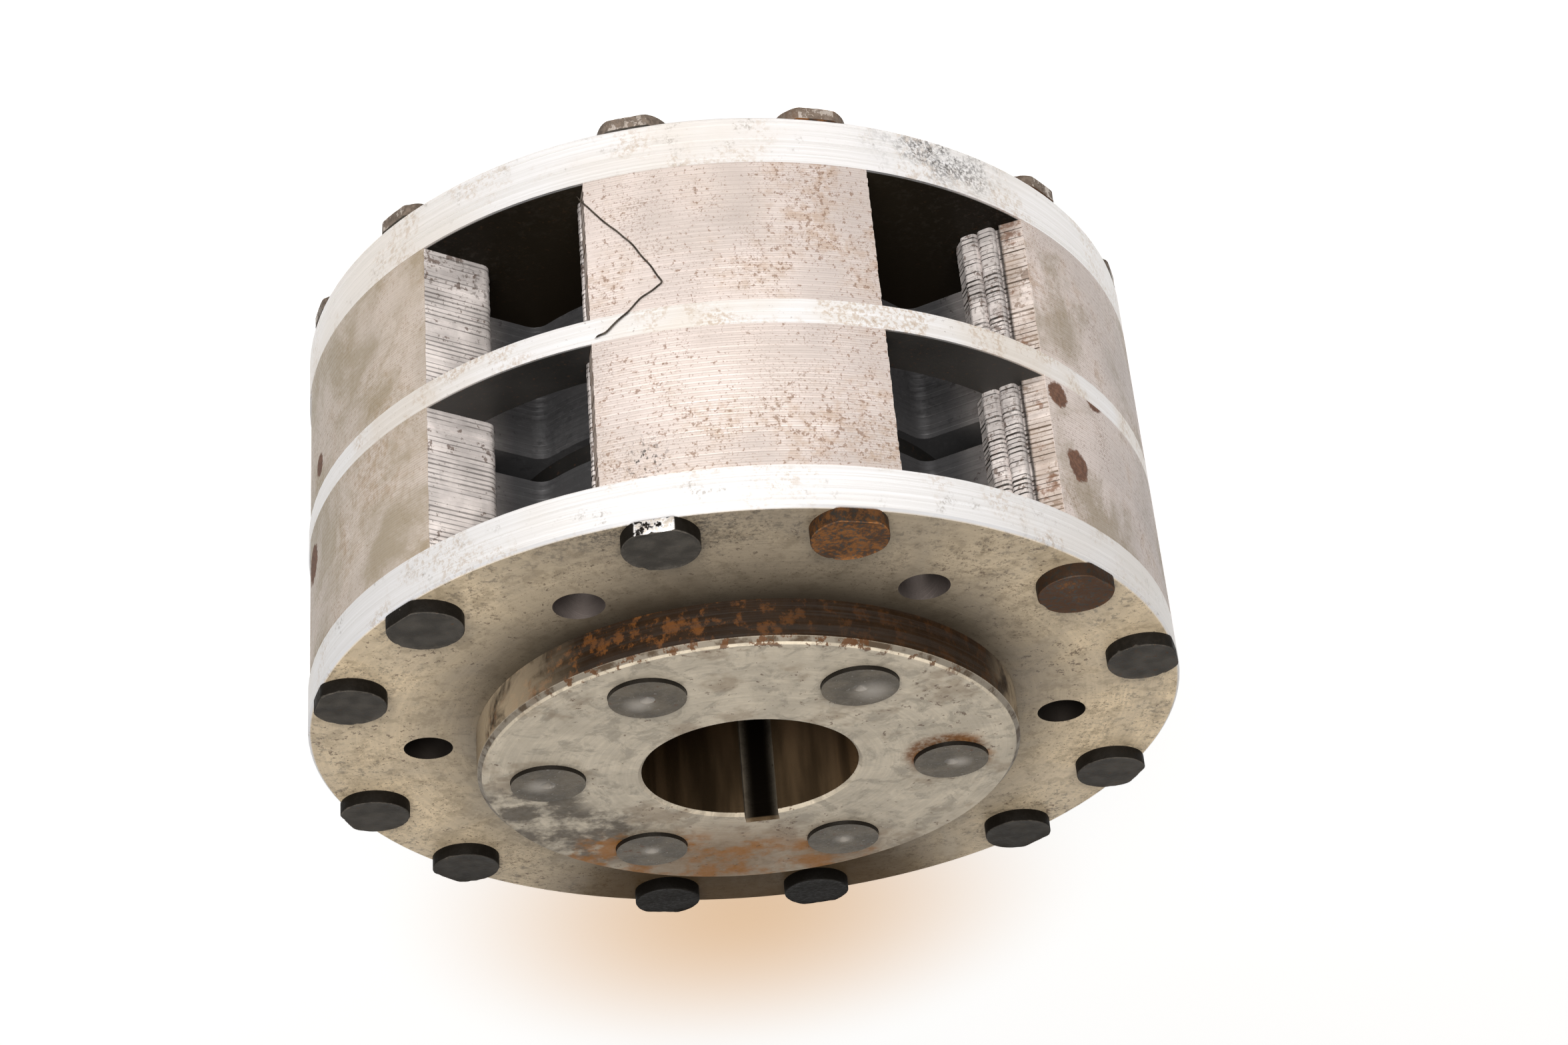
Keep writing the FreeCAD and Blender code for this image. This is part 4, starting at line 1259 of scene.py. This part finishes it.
def hub_rivet_finish(colours):
    """Hub rivet heads: dull grey with black sides of dark steel and painted shade, a punched middle with a
    painted highlight, and a soft painted highlight near it.
    """
    c = colours
    f = Finish("hub_rivet_steel")
    face_level = HUB_TOP + 0.4
    fine = f.noise(2.0, 5.0, 0.7)
    middling = f.noise(0.4, 4.0, 0.6)
    colour = f.mix(f.steps(middling, 0.36, 0.64), c.hub_rivet, shade(c.hub_rivet, 1.7))
    colour = f.lay(colour, f.steps(fine, 0.58, 0.7, 0.0, 0.5), Tones.ring_grey)
    colour = f.lay(colour, f.speckle(1.1, 0.64, f.noise(0.1, 2.0)), c.brown)
    # the heads' black sides are dark steel and painted shade
    side = f.upright(0.3, 0.6)
    colour = f.lay(colour, side, Tones.hub_head_wall)
    on_face = f.math("GREATER_THAN", f.z, HUB_TOP + 0.38)
    punched = f.product(f.rest(on_face), f.rest(side))
    # painted highlights: a bright punched middle and soft bright spots near it
    colour = f.lay(colour, f.product(punched, f.steps(middling, 0.35, 0.6, 0.0, 0.2)), c.bright)
    colour = f.lay(colour, f.level_patches(GLINT_MIDDLES, face_level), Tones.middle_glint, 0.8)
    relief = f.total(f.product(fine, 0.5), middling)
    return f.finish(colour, f.steps(fine, 0.3, 0.7, 0.34, 0.55), 0.35, relief, 0.06, 0.2)


def fibre_finish():
    """The fibre: dull near black with paler stretches."""
    f = Finish("fibre")
    colour = f.mix(f.steps(f.noise(1.5, 3.0), 0.3, 0.7), (0.018, 0.014, 0.011), (0.06, 0.05, 0.04))
    return f.finish(colour, 0.8, 0.0, gloss=0.1)


def floor_finish(colour):
    """The floor: plain pale, seen by the camera as white but for a painted warm shadow behind the part.

    The light it gives off is for the camera and for reflections only, so that it lights
    nothing and keeps the part's shadow.
    """
    f = Finish("floor")
    worn = f.steps(f.noise(0.02, 2.0, 0.5), 0.3, 0.7, 0.0, 0.05)
    f.finish(f.mix(worn, colour, FLOOR_WORN), 0.9, 0.0, gloss=0.1)
    light = f.tree.nodes.new("ShaderNodeLightPath")
    seen = light.outputs["Is Camera Ray"]
    mirrored = f.most(light.outputs["Is Glossy Ray"], light.outputs["Is Transmission Ray"])
    # painted warm shadow: a patch that the camera sees darker and warmer behind the part
    warm = f.patch(WARM_SHADOW_PLACE, WARM_SHADOW_REACH, WARM_SHADOW_STRETCH)
    distant = f.steps(f.radius, 200.0, 700.0, 0.0, DISTANT_GLOW)
    strength = f.most(
        f.product(seen, f.total(f.blend(warm, FLOOR_GLOW, WARM_SHADOW_GLOW), distant)),
        f.product(mirrored, MIRRORED_GLOW),
    )
    glow = f.tree.nodes.new("ShaderNodeEmission")
    f.join(f.mix(f.product(warm, seen), WHITE, WARM_SHADOW_COLOUR), glow.inputs["Color"])
    f.join(strength, glow.inputs["Strength"])
    both = f.tree.nodes.new("ShaderNodeAddShader")
    f.join(f.shader.outputs[0], both.inputs[0])
    f.join(glow.outputs[0], both.inputs[1])
    f.join(both.outputs[0], f.output.inputs[0])
    return f.material


# ------------------------------------------------------------------- operators


class LAMINATION_OT_sheets(Operator):
    """Builds both stacks of pole sheets and gives them their finish"""

    bl_idname = "lamination.sheets"
    bl_label = "Build pole sheets"

    def execute(self, context):
        sizes = context.scene.lamination_sheets
        material = sheet_finish(context.scene.lamination_colours, sizes)
        for seed, node in enumerate(("far_side_stack", "hub_side_stack"), start=1):
            piece = make_stack("sheets_" + node, node, sizes, seed)
            set_finish(piece, material)
        return {"FINISHED"}


class LAMINATION_OT_rivets(Operator):
    """Builds the twelve pole rivets with chipped heads, each with its own rust"""

    bl_idname = "lamination.rivets"
    bl_label = "Build pole rivets"

    def execute(self, context):
        sizes = context.scene.lamination_rivets
        colours = context.scene.lamination_colours
        half = math.radians(sizes.half_angle)
        places = [angle + side * half for angle in POLE_ANGLES for side in (-1, 1)]
        for number in range(1, POLES * RIVETS_PER_POLE + 1):
            low, high = extent("pole_rivet_%02d" % number)
            middle = 0.5 * (low + high)
            near = math.atan2(middle[1], middle[0])
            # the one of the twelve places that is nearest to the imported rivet
            angle = min(places, key=lambda place: abs(math.remainder(place - near, 2 * math.pi)))
            orange, brown, wear, bare = RIVET_RUST[number]
            piece = make_rivet(number, angle, sizes, sizes.seed + number, wear)
            centre = (sizes.out * math.cos(angle), sizes.out * math.sin(angle))
            name = "rivet_steel_%02d" % number
            set_finish(piece, rivet_finish(colours, name, centre, orange, brown, bare))
        return {"FINISHED"}


class LAMINATION_OT_fibre(Operator):
    """Lays the stray fibre on the front pole"""

    bl_idname = "lamination.fibre"
    bl_label = "Lay fibre"

    def execute(self, context):
        set_finish(make_fibre(), fibre_finish())
        return {"FINISHED"}


class LAMINATION_OT_plates(Operator):
    """Finishes the two end plates, the spacer ring and the spacer collar"""

    bl_idname = "lamination.plates"
    bl_label = "Finish plates and spacers"

    def execute(self, context):
        colours = context.scene.lamination_colours
        near = turned_plate(colours, "turned_hub_plate", colours.face, gloss=0.3, light=1.0)
        # painted shade: the far plate's faces take the slots' near black colour and a light share that darkens
        # them further
        far = turned_plate(colours, "turned_far_plate", colours.inner, gloss=0.03, light=0.4)
        set_finish("hub_end_plate", near)
        set_finish("far_end_plate", far)
        ring = ring_finish(colours)
        set_finish("spacer_ring", ring)
        set_finish("spacer_collar", ring)
        return {"FINISHED"}


class LAMINATION_OT_hub(Operator):
    """Finishes the hub and its six rivets"""

    bl_idname = "lamination.hub"
    bl_label = "Finish hub and its rivets"

    def execute(self, context):
        colours = context.scene.lamination_colours
        set_finish("hub", hub_finish(colours))
        rivet = hub_rivet_finish(colours)
        for number in range(1, POLES + 1):
            set_finish("hub_rivet_%d" % number, rivet)
        return {"FINISHED"}


def area_lamp(name, place, aim, width, height, power, colour):
    """A broad soft lamp that faces a point; places and sizes are in millimetres."""
    lamp = bpy.data.lights.new(name, "AREA")
    lamp.shape = "RECTANGLE"
    lamp.size = width * MM
    lamp.size_y = height * MM
    lamp.energy = power
    lamp.color = colour
    thing = bpy.data.objects.new(name, lamp)
    way = Vector(aim) - Vector(place)
    thing.rotation_euler = way.to_track_quat("-Z", "Y").to_euler()
    thing.location = Vector(place) * MM
    bpy.context.scene.collection.objects.link(thing)


class LAMINATION_OT_stage(Operator):
    """Makes the floor, the lamps, the room light and the camera"""

    bl_idname = "lamination.stage"
    bl_label = "Make stage"

    def execute(self, context):
        stage = context.scene.lamination_stage
        self.floor(stage)
        self.room(context.scene, stage)
        # each lamp's name, place, aim, width, height, power and colour
        lamps = [
            ("key_lamp", (50, -600, 232), (0, 0, 20), 460, 240, stage.key, (1.0, 0.975, 0.94)),
            ("low_lamp", (20, -330, 48), (0, 0, 24), 560, 80, stage.low, (1.0, 0.985, 0.965)),
            ("near_lamp", (30, -270, 182), (0, -10, 40), 220, 120, stage.near, (1.0, 0.985, 0.96)),
        ]
        for lamp in lamps:
            area_lamp(*lamp)
        self.camera(context.scene, stage)
        context.scene.view_settings.view_transform = "Standard"
        return {"FINISHED"}

    def floor(self, stage):
        """A square grid under the part, a hair below its lowest point."""
        half = stage.half_width / MM
        line = np.linspace(-half, half, FLOOR_LINES)
        across, along = np.meshgrid(line, line, indexing="ij")
        level = np.full_like(across, CAD_BOX[0][2] / MM - FLOOR_DROP)
        points = np.stack([across, along, level], -1).reshape(-1, 3)
        row, column = np.meshgrid(np.arange(FLOOR_LINES - 1), np.arange(FLOOR_LINES - 1), indexing="ij")
        start = row * FLOOR_LINES + column
        corners = [start, start + FLOOR_LINES, start + FLOOR_LINES + 1, start + 1]
        faces = np.stack(corners, -1).reshape(-1, 4)
        mesh = bpy.data.meshes.new("floor")
        mesh.from_pydata((points * MM).tolist(), [], faces.tolist())
        floor = bpy.data.objects.new("floor", mesh)
        bpy.context.scene.collection.objects.link(floor)
        set_finish(floor, floor_finish(stage.floor))

    def room(self, scene, stage):
        """White where the camera or a reflection sees past the floor, and a plain soft light elsewhere."""
        world = bpy.data.worlds.new("room")
        scene.world = world
        world.use_nodes = True
        tree = world.node_tree
        background = next(node for node in tree.nodes if node.type == "BACKGROUND")
        background.inputs["Color"].default_value = (1.0, 1.0, 1.0, 1.0)
        light = tree.nodes.new("ShaderNodeLightPath")
        seen = light.outputs["Is Camera Ray"]
        for name in ("Is Glossy Ray", "Is Transmission Ray"):
            larger = tree.nodes.new("ShaderNodeMath")
            larger.operation = "MAXIMUM"
            tree.links.new(seen, larger.inputs[0])
            tree.links.new(light.outputs[name], larger.inputs[1])
            seen = larger.outputs[0]
        strength = tree.nodes.new("ShaderNodeMapRange")
        tree.links.new(seen, strength.inputs["Value"])
        strength.inputs["To Min"].default_value = stage.sky
        strength.inputs["To Max"].default_value = 1.0
        tree.links.new(strength.outputs[0], background.inputs["Strength"])

    def camera(self, scene, stage):
        """A camera in front of the part and above it, held upside down and tipped a little."""
        place = Vector(CAMERA_PLACE)
        forward = (Vector(CAMERA_AIM) - place).normalized()
        level = forward.cross(Vector((0, 0, 1))).normalized()
        upright = level.cross(forward)
        cosine, sine = math.cos(CAMERA_TIP), math.sin(CAMERA_TIP)
        right = -(cosine * level + sine * upright)
        above = -(-sine * level + cosine * upright)
        turn = Matrix((right, above, -forward)).transposed()
        lens = bpy.data.cameras.new("camera")
        lens.lens = stage.lens
        lens.sensor_width = SENSOR_WIDTH
        lens.clip_start = 0.005
        thing = bpy.data.objects.new("camera", lens)
        thing.matrix_world = Matrix.Translation(place * MM) @ turn.to_4x4()
        scene.collection.objects.link(thing)
        scene.camera = thing


OPERATORS = [
    LAMINATION_OT_sheets, LAMINATION_OT_rivets, LAMINATION_OT_fibre,
    LAMINATION_OT_plates, LAMINATION_OT_hub, LAMINATION_OT_stage,
]


class LAMINATION_PT_panel(Panel):
    """Lists the steps that dress the part"""

    bl_label = "Lamination stack"
    bl_space_type = "VIEW_3D"
    bl_region_type = "UI"
    bl_category = "Lamination"

    def draw(self, context):
        for operator in OPERATORS:
            self.layout.operator(operator.bl_idname)


def register():
    """Registers the classes and hangs their settings on the scene."""
    for group in GROUPS.values():
        bpy.utils.register_class(group)
    for operator in OPERATORS:
        bpy.utils.register_class(operator)
    bpy.utils.register_class(LAMINATION_PT_panel)
    for name, group in GROUPS.items():
        setattr(bpy.types.Scene, name, PointerProperty(type=group))


def unregister():
    """Undoes what register does."""
    for name in GROUPS:
        delattr(bpy.types.Scene, name)
    bpy.utils.unregister_class(LAMINATION_PT_panel)
    for thing in [*reversed(OPERATORS), *reversed(GROUPS.values())]:
        bpy.utils.unregister_class(thing)


def main():
    """Dresses the part in order."""
    register()
    bpy.ops.lamination.sheets()
    bpy.ops.lamination.rivets()
    bpy.ops.lamination.fibre()
    bpy.ops.lamination.plates()
    bpy.ops.lamination.hub()
    bpy.ops.lamination.stage()


if __name__ == "__main__":
    main()
